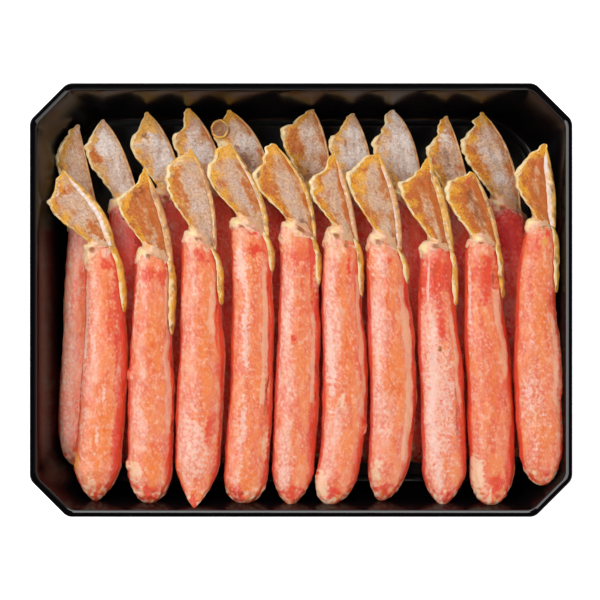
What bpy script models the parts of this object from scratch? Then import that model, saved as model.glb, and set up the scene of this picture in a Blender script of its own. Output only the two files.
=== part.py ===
"""A black eight-sided food tray with twenty peeled snow crab leg portions in two layers.

Each portion is a bar of peeled merus meat with the next joint's shell left on as a handle: a spearhead of
shell, cut open along its upper side, with its own flesh still in it. The lower ten lie on the tray's floor,
and the upper ten lie in the grooves between them, nearer the front.

Lengths are in millimetres until a mesh is made, which is in metres. X runs to the right, Y to the back and
Z up, from the middle of the tray's underside.
"""

import math
from typing import NamedTuple

import bmesh
import bpy
import numpy as np
from mathutils import Matrix, Vector

MM = 0.001
GAP = 0.35  # left between two pieces that touch

# The tray, over its rim
TRAY_LENGTH = 210.4
TRAY_DEPTH = 168.2
TRAY_HEIGHT = 29.0
CORNER_LEG = 14.5  # how far a cut corner runs along each side
CORNER_ROUND = 5.0
CORNER_STEPS = 3
WALL = 1.2
FLANGE = 2.0  # flat width of the rim
SKIRT = 1.6  # how far the rim's outer edge turns down
# Inset and height of the inner wall's lip, and of the knee below which it slopes more; the inset of its foot
LIP_INSET, LIP_Z = 2.7, TRAY_HEIGHT - 1.0
KNEE_INSET, KNEE_Z = 5.0, 12.0
FLOOR_INSET = 10.6

# The meat
FLATNESS = 0.8  # height of a bar's cross section for each unit of its width
TIP_ROUND = 14.0  # length over which the free end rounds off
HEAD_ROUND = 7.0  # length over which the end at the joint widens to the full bar
UPPER_STATIONS = (7.6, -27.7, -62.9)  # Y of the measured middles and widths of the upper bars
LOWER_STATIONS = (15.7, -40.1)

# The joint shell
SHELL_WALL = 1.1
SHELL_DEPTH = 6.2
SHELL_ABOVE_AXIS = 3.0  # height of the shell's rim over the middle of its bar, at the joint
LEFT_BULGE = 1.6  # how far the shell's left edge bows out
SHELL_END = 0.98  # share of the shell's length at which it is cut off
ARC_STEPS = 5  # facets across the round underside
FLESH_SINK = 0.9  # how far the flesh lies below the rim along its edges
FLESH_DOME = 1.3  # how much higher its middle is
SINK_SHARE, DOME_SHARE = 0.1, 0.12  # most that both may be where the shell is narrow, as shares of its width
UPPER_RISE = 0.03  # rise of an upper shell for each unit of its length
LOWER_RISE = 0.03
LOWER_NECK = (5.6, -3.0)  # from the middle of a lower joint to its right corner
STRIP_THICK = 0.8  # band of shell left along a bar's right flank
STRIP_WIDTH = 3.6
STRIP_ROOT = 0.12  # share of the shell's length that the band's root takes up in its wall
STRIP_IN_WALL = (0.2, 0.9)  # how deep the root's two faces lie in that wall
STRIP_BELOW_RIM = 0.5
STRIP_START = 2.5  # distance from the joint at which the band lies on the bar
STRIP_STEPS = 5
STRIP_CLEAR, STRIP_FADE = 3.5, 5.0  # beyond the band's end the bar's flank stays in, then comes out again
STRIP_LOW, STRIP_HIGH = -2.0, 38.0  # its edges on the bar, in degrees up from the right flank


class Upper(NamedTuple):
    """An upper portion as it lies: points are (x, y), and widths and middles are at UPPER_STATIONS."""

    joint_left: tuple
    joint_right: tuple
    middles: tuple
    widths: tuple
    tip: tuple  # with how far it turns up as its third number
    corner: tuple  # outermost point of the shell, at the left of its cut end
    point: tuple  # far point of the shell
    side: tuple  # a point half way along its right edge
    strip: float  # length of the band of shell beside the bar
    lean: float = 0.0  # how much higher it lies for leaning on the tray's wall


class Lower(NamedTuple):
    """A lower portion as it lies, with its middles at LOWER_STATIONS."""

    joint: tuple
    middles: tuple
    width: float
    tip: tuple
    corner: tuple
    point: tuple
    side: tuple


UPPER = (
    Upper((-82.5, 22.0), (-73.0, 21.0), (-76.5, -77.0, -79.5), (15.5, 18.0, 18.3), (-80.5, -79.0, 0.0),
          (-99.5, 38.0), (-93.0, 50.5), (-78.5, 36.5), 17.0),
    Upper((-61.5, 21.0), (-50.0, 14.5), (-57.0, -58.5, -59.0), (16.5, 18.0, 17.8), (-59.5, -79.7, 1.0),
          (-72.0, 40.0), (-61.0, 51.0), (-53.0, 33.0), 16.0),
    Upper((-43.0, 27.5), (-33.0, 19.5), (-38.5, -39.0, -40.5), (16.5, 18.0, 18.0), (-41.5, -81.0, 6.0),
          (-53.0, 48.0), (-43.0, 58.5), (-35.0, 42.0), 23.0),
    Upper((-24.5, 32.5), (-12.5, 25.0), (-18.5, -19.5, -21.0), (17.0, 17.0, 17.5), (-22.5, -79.7, 1.0),
          (-37.0, 50.5), (-28.0, 61.0), (-16.0, 42.5), 15.0),
    Upper((-5.0, 31.0), (6.0, 23.5), (0.0, -1.3, -3.0), (16.5, 17.0, 16.8), (-4.0, -80.3, 3.0),
          (-19.0, 49.0), (-10.5, 61.0), (2.0, 44.5), 19.0),
    Upper((12.5, 29.0), (22.5, 23.0), (17.0, 16.8, 16.0), (16.5, 17.6, 17.0), (11.0, -80.2, 2.5),
          (3.5, 46.5), (12.5, 58.0), (18.8, 42.5), 23.0),
    Upper((29.0, 26.5), (39.5, 19.5), (34.5, 35.5, 35.0), (17.0, 18.2, 16.6), (31.5, -78.7, 0.0),
          (17.5, 49.5), (30.0, 57.0), (37.5, 40.0), 14.0),
    Upper((50.5, 23.5), (60.0, 19.0), (53.5, 55.0, 56.0), (15.5, 17.2, 17.2), (55.5, -80.3, 3.0),
          (38.0, 46.0), (49.5, 55.5), (56.8, 39.0), 22.0),
    Upper((67.0, 24.0), (78.0, 21.0), (72.0, 73.4, 74.9), (15.5, 17.8, 17.9), (74.0, -80.2, 3.0),
          (56.0, 44.0), (67.0, 49.5), (74.0, 37.5), 21.0),
    Upper((91.0, 32.0), (99.0, 28.0), (92.3, 92.4, 93.3), (16.0, 18.2, 16.6), (94.0, -72.3, 0.0),
          (83.0, 49.5), (95.0, 60.0), (98.8, 44.0), 26.0, 3.0),
)  # fmt: skip

LOWER = (
    Lower((-84.5, 31.0), (-85.5, -88.0), 16.2, (-88.5, -66.5), (-97.3, 60.0), (-88.2, 69.6), (-83.7, 49.4)),
    Lower((-68.5, 37.5), (-68.0, -68.5), 16.2, (-69.5, -65.5), (-86.4, 61.5), (-78.6, 71.6), (-70.1, 58.5)),
    Lower((-51.0, 41.5), (-49.0, -49.5), 16.6, (-51.0, -65.0), (-68.0, 65.0), (-61.5, 74.6), (-51.9, 62.0)),
    Lower((-34.0, 43.0), (-29.5, -30.5), 16.6, (-31.5, -65.0), (-51.4, 65.0), (-44.9, 76.1), (-34.8, 63.0)),
    Lower((-15.5, 43.5), (-10.0, -11.5), 16.6, (-12.5, -65.0), (-35.3, 68.1), (-28.7, 75.1), (-16.6, 63.0)),
    Lower((8.5, 39.5), (8.5, 7.5), 16.6, (6.0, -65.0), (-8.1, 67.0), (4.5, 75.6), (10.1, 62.5)),
    Lower((24.5, 41.5), (26.5, 26.0), 16.4, (25.5, -65.0), (11.1, 63.5), (20.7, 74.1), (26.7, 60.5)),
    Lower((43.0, 41.5), (44.5, 46.0), 16.6, (46.5, -65.0), (27.7, 62.5), (36.3, 75.1), (44.9, 62.5)),
    Lower((62.5, 40.5), (64.0, 65.5), 16.6, (66.5, -64.0), (49.9, 61.0), (57.5, 73.1), (63.5, 58.5)),
    Lower((82.0, 37.5), (83.5, 86.0), 16.6, (86.5, -62.5), (62.9, 63.0), (71.6, 74.6), (82.7, 58.5)),
)  # fmt: skip

TRAY_COLOUR = (0.012, 0.011, 0.013)
MEAT_COLOUR = (0.80, 0.28, 0.15)
LOWER_MEAT_COLOUR = (0.62, 0.14, 0.09)
SHELL_COLOUR = (0.78, 0.42, 0.12)
FLESH_COLOUR = (0.68, 0.48, 0.40)


def clear_scene():
    for thing in list(bpy.data.objects):
        bpy.data.objects.remove(thing, do_unlink=True)


def make_material(name, colour, roughness):
    """A Principled material of one colour."""
    material = bpy.data.materials.new(name)
    material.use_nodes = True
    shader = material.node_tree.nodes["Principled BSDF"]
    shader.inputs["Base Color"].default_value = (*colour, 1.0)
    shader.inputs["Roughness"].default_value = roughness
    shader.inputs["Metallic"].default_value = 0.0
    return material


def link_object(name, mesh, material, origin, parent):
    """Puts a mesh that was made about `origin` (mm) into the scene as one named object."""
    mesh.materials.append(material)
    mesh.shade_smooth()
    mesh.set_sharp_from_angle(angle=math.radians(40))
    thing = bpy.data.objects.new(name, mesh)
    bpy.context.collection.objects.link(thing)
    thing.location = Vector(origin) * MM
    thing.parent = parent
    return thing


def loft(name, rings, origin, start_pole=None, end_pole=None):
    """A closed mesh through rings of points (mm); an end without a pole is closed by a flat face."""
    shift = Vector(origin)
    bm = bmesh.new()
    loops = [[bm.verts.new((Vector(p) - shift) * MM) for p in ring] for ring in rings]
    for lower, upper in zip(loops, loops[1:]):
        for i in range(len(lower)):
            j = (i + 1) % len(lower)
            bm.faces.new((lower[i], lower[j], upper[j], upper[i]))
    for loop, pole in ((loops[0], start_pole), (loops[-1], end_pole)):
        if pole is None:
            bm.faces.new(loop)
            continue
        centre = bm.verts.new((Vector(pole) - shift) * MM)
        for i in range(len(loop)):
            bm.faces.new((loop[i], loop[(i + 1) % len(loop)], centre))
    bmesh.ops.recalc_face_normals(bm, faces=bm.faces)
    mesh = bpy.data.meshes.new(name)
    bm.to_mesh(mesh)
    bm.free()
    return mesh


def mix(a, b, t):
    """The point a share t of the way from a to b."""
    return tuple(p + (q - p) * t for p, q in zip(a, b))


# The tray


def tray_ring(inset, z):
    """The tray's outline moved in by `inset` on all eight sides, with each corner rounded by an arc."""
    half_x, half_y = TRAY_LENGTH / 2 - inset, TRAY_DEPTH / 2 - inset
    leg = CORNER_LEG - inset * (2 - math.sqrt(2))
    pull = CORNER_ROUND * math.tan(math.radians(22.5))  # from a corner to where its arc starts
    corners = [(half_x, half_y - leg), (half_x - leg, half_y)]
    corners += [(-x, y) for x, y in reversed(corners)]
    corners += [(-x, -y) for x, y in corners]
    ring = []
    for i, corner in enumerate(corners):
        here = Vector(corner)
        before = (Vector(corners[i - 1]) - here).normalized()
        after = (Vector(corners[(i + 1) % len(corners)]) - here).normalized()
        inward = (before + after).normalized()
        centre = here + inward * (CORNER_ROUND / math.cos(math.radians(22.5)))
        start = here + before * pull - centre
        sweep = start.angle_signed(here + after * pull - centre)
        for step in range(CORNER_STEPS + 1):
            turned = start.copy()
            turned.rotate(Matrix.Rotation(-sweep * step / CORNER_STEPS, 2))
            ring.append((centre.x + turned.x, centre.y + turned.y, z))
    return ring


def make_tray(material, parent):
    """One thin pressed sheet: up the outside, over the rim and its turned edge, and down the inside."""
    foot = FLOOR_INSET + 0.4
    profile = [
        (foot, 0.0),
        (FLOOR_INSET - 1.0, 0.7),
        (KNEE_INSET - WALL, KNEE_Z),
        (LIP_INSET - WALL, TRAY_HEIGHT - WALL),
        (WALL * 0.75, TRAY_HEIGHT - WALL),
        (WALL * 0.6, TRAY_HEIGHT - WALL - SKIRT),
        (0.0, TRAY_HEIGHT - WALL - SKIRT),
        (0.0, TRAY_HEIGHT - 0.5),
        (0.4, TRAY_HEIGHT),
        (FLANGE, TRAY_HEIGHT),
        (LIP_INSET, LIP_Z),
        (KNEE_INSET, KNEE_Z),
        (FLOOR_INSET, WALL + 0.6),
        (FLOOR_INSET + 1.2, WALL),
    ]
    rings = [tray_ring(inset, z) for inset, z in profile]
    mesh = loft("tray", rings, (0, 0, 0))
    return link_object("tray", mesh, material, (0, 0, 0), parent)


# The bars of meat


class Bar:
    """One bar of meat: its plan outline, and its height from the outline's width."""

    def __init__(self, joint_left, joint_right, ys, middles, widths, tip, z, tip_rise=0.0, strip=0.0):
        self.joint_left, self.joint_right, self.tip = joint_left, joint_right, tip
        self.z, self.tip_rise = z, tip_rise
        self.banded, self.strip_end = strip > 0, joint_right[1] - strip - STRIP_CLEAR
        joint = mix(joint_left, joint_right, 0.5)
        # A cubic that runs as near as it can to the measured middles, and the curve of the widths
        self.middle_curve = np.polyfit((joint[1], *ys, tip[1]), (joint[0], *middles, tip[0]), 3)
        self.width_curve = np.polyfit(ys, widths, len(ys) - 1)

    def middle(self, y):
        return float(np.polyval(self.middle_curve, y))

    def half_width(self, y):
        """Half the bar's width at y: the measured curve, rounded off over the free end."""
        left = max(0.0, y - self.tip[1])
        cap = math.sqrt(max(0.0, 1 - max(0.0, 1 - left / TIP_ROUND) ** 2))
        return cap * float(np.polyval(self.width_curve, y)) / 2

    def height(self, y):
        """Height of the bar's middle at y, which turns up over the rounded end."""
        return self.z + self.tip_rise * max(0.0, 1 - (y - self.tip[1]) / TIP_ROUND) ** 2

    def recess(self, y):
        """How far the right flank stands in at y, to leave room for the band of shell beside it."""
        return (GAP + STRIP_THICK) * min(1.0, max(0.0, (y - self.strip_end) / STRIP_FADE + 1))

    def chord(self, t):
        """Left and right edge in plan, from the joint (t = 0) to the free end (t = 1)."""
        ends = (self.joint_left, self.joint_right)
        length = ends[0][1] - self.tip[1]
        opened = min(1.0, t * length / HEAD_ROUND)
        rounded = math.sqrt(1 - (1 - opened) ** 2)
        edges = []
        for side, joint, share in zip((-1, 1), ends, (rounded, opened**2 if self.banded else rounded)):
            y = joint[1] + (self.tip[1] - joint[1]) * t
            x = self.middle(y) + side * self.half_width(y)
            body = (x - self.recess(y) if side > 0 and self.banded else x, y)
            edges.append(mix(joint, body, share))
        return edges

    def ring(self, t, sides):
        """The oval cross section over one chord."""
        left, right = self.chord(t)
        half = (right[0] - left[0]) / 2
        ring = []
        for i in range(sides):
            turn = 2 * math.pi * i / sides
            x, y = mix(left, right, 0.5 + 0.5 * math.cos(turn))
            ring.append((x, y, self.height(y) + half * FLATNESS * math.sin(turn)))
        return ring

    def stations(self, count):
        """Shares along the bar: closer together over the rounded ends, where each step turns by one angle."""
        length = (self.joint_left[1] + self.joint_right[1]) / 2 - self.tip[1]
        head = [HEAD_ROUND * (1 - math.cos(math.radians(turn))) for turn in (0, 30, 60)]
        cap = [length - TIP_ROUND * (1 - math.cos(math.radians(turn))) for turn in (66, 44, 22)]
        body = np.linspace(HEAD_ROUND, length - TIP_ROUND, count)
        return [distance / length for distance in (*head, *body, *cap)]

    def solid(self, name, sides, stations):
        """The bar lofted through its cross sections, from the flat end at the joint to the free end's pole."""
        rings = [self.ring(t, sides) for t in self.stations(stations)]
        joint = (*mix(self.joint_left, self.joint_right, 0.5), self.z)
        return loft(name, rings, joint, end_pole=(*self.tip, self.z + self.tip_rise)), joint


def settled_height(bar, others):
    """The least height at which an upper bar clears the lower ones.

    All sections are ellipses of one shape, so two of them touch where the distance between their middles,
    with heights divided by FLATNESS, is the sum of their half widths.
    """
    needed = 0.0
    for y in np.linspace(bar.tip[1] + 1, bar.joint_right[1], 50):
        for other in others:
            if not other.tip[1] < y < other.joint_right[1]:
                continue
            reach = bar.half_width(y) + other.half_width(y)
            aside = abs(bar.middle(y) - other.middle(y))
            if aside < reach:
                rise = FLATNESS * math.sqrt(reach**2 - aside**2)
                needed = max(needed, other.z + rise + GAP)
    return needed


# The joint shells


class Shell:
    """The spearhead of shell beyond a joint: a left edge with a corner, a bowed right edge, a far point."""

    def __init__(self, joint_left, joint_right, corner, side, point, z, rise):
        middle = Vector(mix(joint_left, joint_right, 0.5))
        ahead = (Vector(point) - middle).normalized() * GAP
        self.left = tuple(Vector(joint_left) + ahead)
        self.right = tuple(Vector(joint_right) + ahead)
        self.middle, self.corner, self.side, self.point = tuple(middle), corner, side, point
        self.z, self.rise = z, rise
        first, second = math.dist(self.left, corner), math.dist(corner, point)
        self.turn = first / (first + second)  # where along the left edge its corner comes

    def left_edge(self, s):
        if s >= self.turn:
            return mix(self.corner, self.point, (s - self.turn) / (1 - self.turn))
        t = s / self.turn
        along = Vector(self.corner) - Vector(self.left)
        outward = Vector((-along.y, along.x)).normalized()
        bow = outward * (LEFT_BULGE * 6.75 * t**2 * (1 - t))  # most at two thirds of the way to the corner
        return tuple(Vector(mix(self.left, self.corner, t)) + bow)

    def right_edge(self, s):
        """The one parabola through the joint's right corner, the side point and the far point."""
        shape = (2 * (s - 0.5) * (s - 1), 4 * s * (1 - s), 2 * s * (s - 0.5))
        points = (self.right, self.side, self.point)
        return tuple(sum(w * p[k] for w, p in zip(shape, points)) for k in (0, 1))

    def chord(self, s, inset):
        """Both edges in plan at s, moved towards each other, and the height of the rim there."""
        left, right = self.left_edge(s), self.right_edge(s)
        width = math.dist(left, right)
        share = min(0.42, inset / width)
        far = math.dist(mix(left, right, 0.5), self.middle)
        return mix(left, right, share), mix(right, left, share), self.z + self.rise * far

    def arc(self, s, inset, steps):
        """The half oval below one chord, from left to right; it gets shallower where the chord is short."""
        left, right, z = self.chord(s, inset)
        full = math.dist(left, right) + 2 * inset
        depth = min(SHELL_DEPTH, 0.42 * full) - inset
        points = []
        for i in range(steps + 1):
            turn = math.pi * i / steps
            x, y = mix(left, right, 0.5 - 0.5 * math.cos(turn))
            points.append((x, y, z - depth * math.sin(turn)))
        return points

    def stations(self, count):
        """Shares along the shell, with the left corner among them and the last one short of the point."""
        before = max(2, round(count * self.turn))
        after = count - before
        shares = [self.turn * i / before for i in range(before)]
        return shares + [self.turn + (SHELL_END - self.turn) * i / after for i in range(after + 1)]

    def trough(self, name, origin, stations):
        """The open shell alone, with a wall of even thickness."""
        rings = []
        for s in self.stations(stations):
            outer, inner = self.arc(s, 0.0, ARC_STEPS), self.arc(s, SHELL_WALL, ARC_STEPS)
            rings.append(outer + inner[::-1])
        return loft(name, rings, origin)

    def crown(self, s, inset, shares):
        """Points over the flesh at s, from its right edge to its left: sunk at the edges, domed between them."""
        left, right, z = self.chord(s, inset)
        width = math.dist(left, right)
        sink, dome = min(FLESH_SINK, SINK_SHARE * width), min(FLESH_DOME, DOME_SHARE * width)
        return [(*mix(right, left, t), z - sink + dome * 4 * t * (1 - t)) for t in shares]

    def filling(self, name, origin, stations):
        """The flesh inside the trough, which ends before the point."""
        inset = SHELL_WALL + GAP
        rings = []
        for s in self.stations(stations)[:-1]:
            under = self.arc(s, inset, ARC_STEPS)
            sink = under[0][2] - self.crown(s, inset, (0,))[0][2]
            for end, inward in ((0, 1), (-1, -2)):
                under[end] = mix(under[end], under[inward], sink / (under[end][2] - under[inward][2]))
            rings.append(under + self.crown(s, inset + sink, (0.2, 0.5, 0.8)))
        return loft(name, rings, origin)

    def filled(self, name, origin, stations):
        """Shell and flesh as one body: the rim stands a little proud of the flesh inside it."""
        rings = []
        for s in self.stations(stations):
            rings.append(self.arc(s, 0.0, ARC_STEPS) + self.crown(s, SHELL_WALL, (0, 0.5, 1)))
        return loft(name, rings, origin)


def strip_solid(name, bar, shell, length, origin):
    """The band of shell beside an upper bar's head.

    Its root lies inside the shell's right wall, and from there it follows the bar's right flank and narrows
    to its end.
    """
    rings = []
    for s in (STRIP_ROOT, 0.0):
        edge, rim = shell.right_edge(s), shell.chord(s, 0.0)[2]
        inner, outer = edge[0] - STRIP_IN_WALL[1], edge[0] - STRIP_IN_WALL[0]
        low, high = rim - STRIP_WIDTH, rim - STRIP_BELOW_RIM
        levels = [low, (low + high) / 2, high]
        rings.append([(inner, edge[1], z) for z in levels] + [(outer, edge[1], z) for z in levels[::-1]])
    bar_length = bar.joint_right[1] - bar.tip[1]
    middle = (STRIP_LOW + STRIP_HIGH) / 2
    for i in range(STRIP_STEPS + 1):
        left, right = bar.chord((STRIP_START + (length - STRIP_START) * i / STRIP_STEPS) / bar_length)
        half = (right[0] - left[0]) / 2
        narrow = 1 - 0.75 * i / STRIP_STEPS
        ring = []
        turns = (STRIP_LOW, middle, STRIP_HIGH)
        for out, turn in [(0, turn) for turn in turns] + [(STRIP_THICK, turn) for turn in turns[::-1]]:
            angle = math.radians(middle + (turn - middle) * narrow)
            reach = (half + GAP + out) * math.cos(angle) / half
            x, y = mix(left, right, 0.5 + 0.5 * reach)
            ring.append((x, y, bar.z + (half * FLATNESS + GAP + out) * math.sin(angle)))
        rings.append(ring)
    return loft(name, rings, origin)


def join_solids(body, other):
    """Fuses `other` into `body` and removes it."""
    join = body.modifiers.new("join", "BOOLEAN")
    join.operation = "UNION"
    join.solver = "EXACT"
    join.object = other
    bpy.context.view_layer.update()
    mesh = bpy.data.meshes.new_from_object(body.evaluated_get(bpy.context.evaluated_depsgraph_get()))
    body.modifiers.clear()
    body.data = mesh
    bpy.data.objects.remove(other, do_unlink=True)


def main():
    clear_scene()
    root = bpy.data.objects.new("crab_tray", None)
    bpy.context.collection.objects.link(root)
    tray_black = make_material("tray_plastic", TRAY_COLOUR, 0.3)
    meat = make_material("upper_meat", MEAT_COLOUR, 0.35)
    lower_meat = make_material("lower_meat", LOWER_MEAT_COLOUR, 0.35)
    horn = make_material("joint_shell", SHELL_COLOUR, 0.4)
    flesh = make_material("joint_flesh", FLESH_COLOUR, 0.4)
    make_tray(tray_black, root)

    lower_bars = []
    for number, piece in enumerate(LOWER, 1):
        left = (piece.joint[0] - LOWER_NECK[0], piece.joint[1] - LOWER_NECK[1])
        right = (piece.joint[0] + LOWER_NECK[0], piece.joint[1] + LOWER_NECK[1])
        z = WALL + GAP + piece.width / 2 * FLATNESS
        widths = (piece.width, piece.width)
        bar = Bar(left, right, LOWER_STATIONS, piece.middles, widths, piece.tip, z)
        lower_bars.append(bar)
        mesh, origin = bar.solid(f"lower_{number:02d}_meat", 10, 6)
        link_object(f"lower_{number:02d}_meat", mesh, lower_meat, origin, root)
        shell = Shell(left, right, piece.corner, piece.side, piece.point, z + SHELL_ABOVE_AXIS, LOWER_RISE)
        mesh = shell.filled(f"lower_{number:02d}_shell", origin, 8)
        link_object(f"lower_{number:02d}_shell", mesh, horn, origin, root)

    for number, piece in enumerate(UPPER, 1):
        meat_right = (piece.joint_right[0] - GAP - SHELL_WALL, piece.joint_right[1])
        shape = (UPPER_STATIONS, piece.middles, piece.widths, piece.tip[:2])
        bar = Bar(piece.joint_left, meat_right, *shape, 0.0, piece.tip[2], piece.strip)
        bar.z = settled_height(bar, lower_bars) + piece.lean
        mesh, origin = bar.solid(f"upper_{number:02d}_meat", 12, 8)
        link_object(f"upper_{number:02d}_meat", mesh, meat, origin, root)
        z = bar.z + SHELL_ABOVE_AXIS
        shell = Shell(piece.joint_left, piece.joint_right, piece.corner, piece.side, piece.point, z, UPPER_RISE)
        mesh = shell.trough(f"upper_{number:02d}_shell", origin, 8)
        trough = link_object(f"upper_{number:02d}_shell", mesh, horn, origin, root)
        strip_mesh = strip_solid("strip", bar, shell, piece.strip, origin)
        strip = link_object("strip", strip_mesh, horn, origin, root)
        join_solids(trough, strip)
        mesh = shell.filling(f"upper_{number:02d}_flesh", origin, 8)
        link_object(f"upper_{number:02d}_flesh", mesh, flesh, origin, root)


main()
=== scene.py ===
"""A dressed black food tray with twenty peeled snow crab leg portions, seen from straight above.

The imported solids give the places. Every piece here is a surface worked out on a grid of points, in
millimetres, and is turned into a mesh in metres. X runs to the right, Y to the back and Z up, from the
middle of the tray's underside.
"""

import logging
import math
from dataclasses import dataclass, field, replace
from enum import Enum
import bpy
import numpy as np
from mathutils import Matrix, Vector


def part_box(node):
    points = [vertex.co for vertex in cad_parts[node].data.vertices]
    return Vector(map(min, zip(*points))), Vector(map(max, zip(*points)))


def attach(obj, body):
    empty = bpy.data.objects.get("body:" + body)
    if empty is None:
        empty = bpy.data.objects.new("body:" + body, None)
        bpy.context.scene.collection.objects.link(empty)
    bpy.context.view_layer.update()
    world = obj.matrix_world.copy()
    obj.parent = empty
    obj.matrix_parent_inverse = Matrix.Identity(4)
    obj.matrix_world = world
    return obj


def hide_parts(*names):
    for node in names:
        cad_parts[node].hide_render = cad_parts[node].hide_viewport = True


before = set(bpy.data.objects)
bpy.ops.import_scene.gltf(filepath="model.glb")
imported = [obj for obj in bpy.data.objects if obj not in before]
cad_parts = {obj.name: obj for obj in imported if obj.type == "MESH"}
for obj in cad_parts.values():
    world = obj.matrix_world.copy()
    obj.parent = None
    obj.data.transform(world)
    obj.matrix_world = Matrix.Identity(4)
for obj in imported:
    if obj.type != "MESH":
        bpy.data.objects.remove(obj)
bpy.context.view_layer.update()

LOG = logging.getLogger("crab_tray")
MM = 0.001
GAP = 0.35  # mm left between two pieces that touch
UV_MAP = "Surface"
EDGE_RANGE = 0.76  # how far a stain's strength grows from where it begins to show to where it shows in full
FULLY_THERE = 0.15  # strength of a tint from which its texture alone decides
Array = np.ndarray
Point = tuple[float, ...]
Tree = bpy.types.NodeTree
Node = bpy.types.Node
Output = bpy.types.NodeSocket


class Slot(Enum):
    """The record's material slots."""

    TRAY = "tray_plastic"
    UPPER_MEAT = "upper_meat"
    LOWER_MEAT = "lower_meat"
    SHELL = "joint_shell"
    FLESH = "joint_flesh"


class Tint(Enum):
    """What a place on a piece is stained or covered with, and in places the painted light or shade that a tint stands
    for. The value names the mesh attribute.
    """

    PINK = "Pink"
    RED = "Red"
    DEEP = "Deep"
    FROST = "Frost"
    TENDON = "Tendon"
    CREAM = "Cream"
    AMBER = "Amber"
    GOLD = "Gold"
    PEARL = "Pearl"
    PIT = "Pit"
    GLASS = "Glass"


class EndFace(Enum):
    """How the two open ends of a loft are closed."""

    FAN = "fan to the middle of the end ring"
    STRIP = "strip between the ring's first half and its second"


# Shapes


def smooth(low: float, high: float, value: Array) -> Array:
    """A soft step: 0 at `low`, 1 at `high`, with level ends. `low` may be the larger.

    Args:
        low: Value at which the step starts.
        high: Value at which it ends.
        value: Where to read the step.

    Returns:
        The step 3t^2 - 2t^3 of the clamped share t of the way from low to high.
    """
    share = np.clip((value - low) / (high - low), 0.0, 1.0)
    return share * share * (3.0 - 2.0 * share)


def ripple(points: Array, length: float, seed: int, waves: int = 8) -> Array:
    """A smooth uneven pattern: the sum of cosine waves that cross in seeded directions.

    Args:
        points: Places in mm, with x, y and z last.
        length: Typical wave length in mm.
        seed: Picks the directions and phases.
        waves: How many waves are summed.

    Returns:
        Values of about -1 to 1, one for each place.
    """
    draw = np.random.default_rng(seed)
    total = np.zeros(points.shape[:-1])
    for _ in range(waves):
        heading = draw.normal(size=3)
        heading *= 2 * math.pi / (length * draw.uniform(0.7, 1.4) * np.linalg.norm(heading))
        total += np.cos(points @ heading + draw.uniform(0, 2 * math.pi))
    return total / math.sqrt(waves)


def between(start: Array, end: Array, share: Array) -> Array:
    """The points a share of the way from start to end.

    Args:
        start: One point, in mm.
        end: The other.
        share: Shares of the way, as an array.

    Returns:
        One point for each share.
    """
    return start + (end - start) * np.asarray(share)[..., None]


def spanned(left: Array, right: Array, share: Array) -> Array:
    """Rows of points from a left edge to a right edge.

    Args:
        left: One point for each row, in mm.
        right: The other, likewise.
        share: Shares of the way across, for each row, or for all of them, and each column.

    Returns:
        The points, of shape (rows, columns, 2).
    """
    return left[:, None] + (right - left)[:, None] * share[..., None]


def raised(plan: Array, height: Array) -> Array:
    """Places in plan, each at its height."""
    return np.concatenate([plan, height[..., None]], axis=-1)


def bell(distance: Array, radius: float) -> Array:
    """The bell exp(-(d / r)^2): 1 at no distance, and fading out beyond the radius."""
    return np.exp(-((distance / radius) ** 2))


def along_chain(points: list[Point], share: Array) -> Array:
    """Points along a chain of straight stretches, spaced by its length.

    Args:
        points: The chain's points in mm.
        share: Shares of its whole length, as an array.

    Returns:
        One point for each share.
    """
    chain = np.array(points)
    reached = np.concatenate([[0.0], np.cumsum(np.linalg.norm(np.diff(chain, axis=0), axis=-1))])
    place = np.clip(share, 0, 1) * reached[-1]
    return np.stack([np.interp(place, reached, chain[:, i]) for i in range(chain.shape[1])], axis=-1)


def oval(columns: int, power: float) -> tuple[Array, Array, Array]:
    """Places round the oval |x|^n + |z|^n = 1, from its lowest point on.

    Args:
        columns: How many places.
        power: The power n; 2 is a circle.

    Returns:
        How far across and how far up each place is, each -1 to 1, and the ways outwards.
    """
    turn = np.linspace(0, 2 * math.pi, columns, endpoint=False) - math.pi / 2
    across = np.sign(np.cos(turn)) * np.abs(np.cos(turn)) ** (2 / power)
    up = np.sign(np.sin(turn)) * np.abs(np.sin(turn)) ** (2 / power)
    return across, up, np.stack([np.cos(turn), np.zeros_like(turn), np.sin(turn)], axis=-1)


def softened(line: Array, times: int = 2) -> Array:
    """Rounds the corners of a line of points: each point but the ends moves to the mean of itself and its neighbours.

    Args:
        line: Points in mm.
        times: How often this is done.

    Returns:
        The rounded line.
    """
    for _ in range(times):
        line = np.concatenate([line[:1], (line[:-2] + 2 * line[1:-1] + line[2:]) / 4, line[-1:]])
    return line


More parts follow.
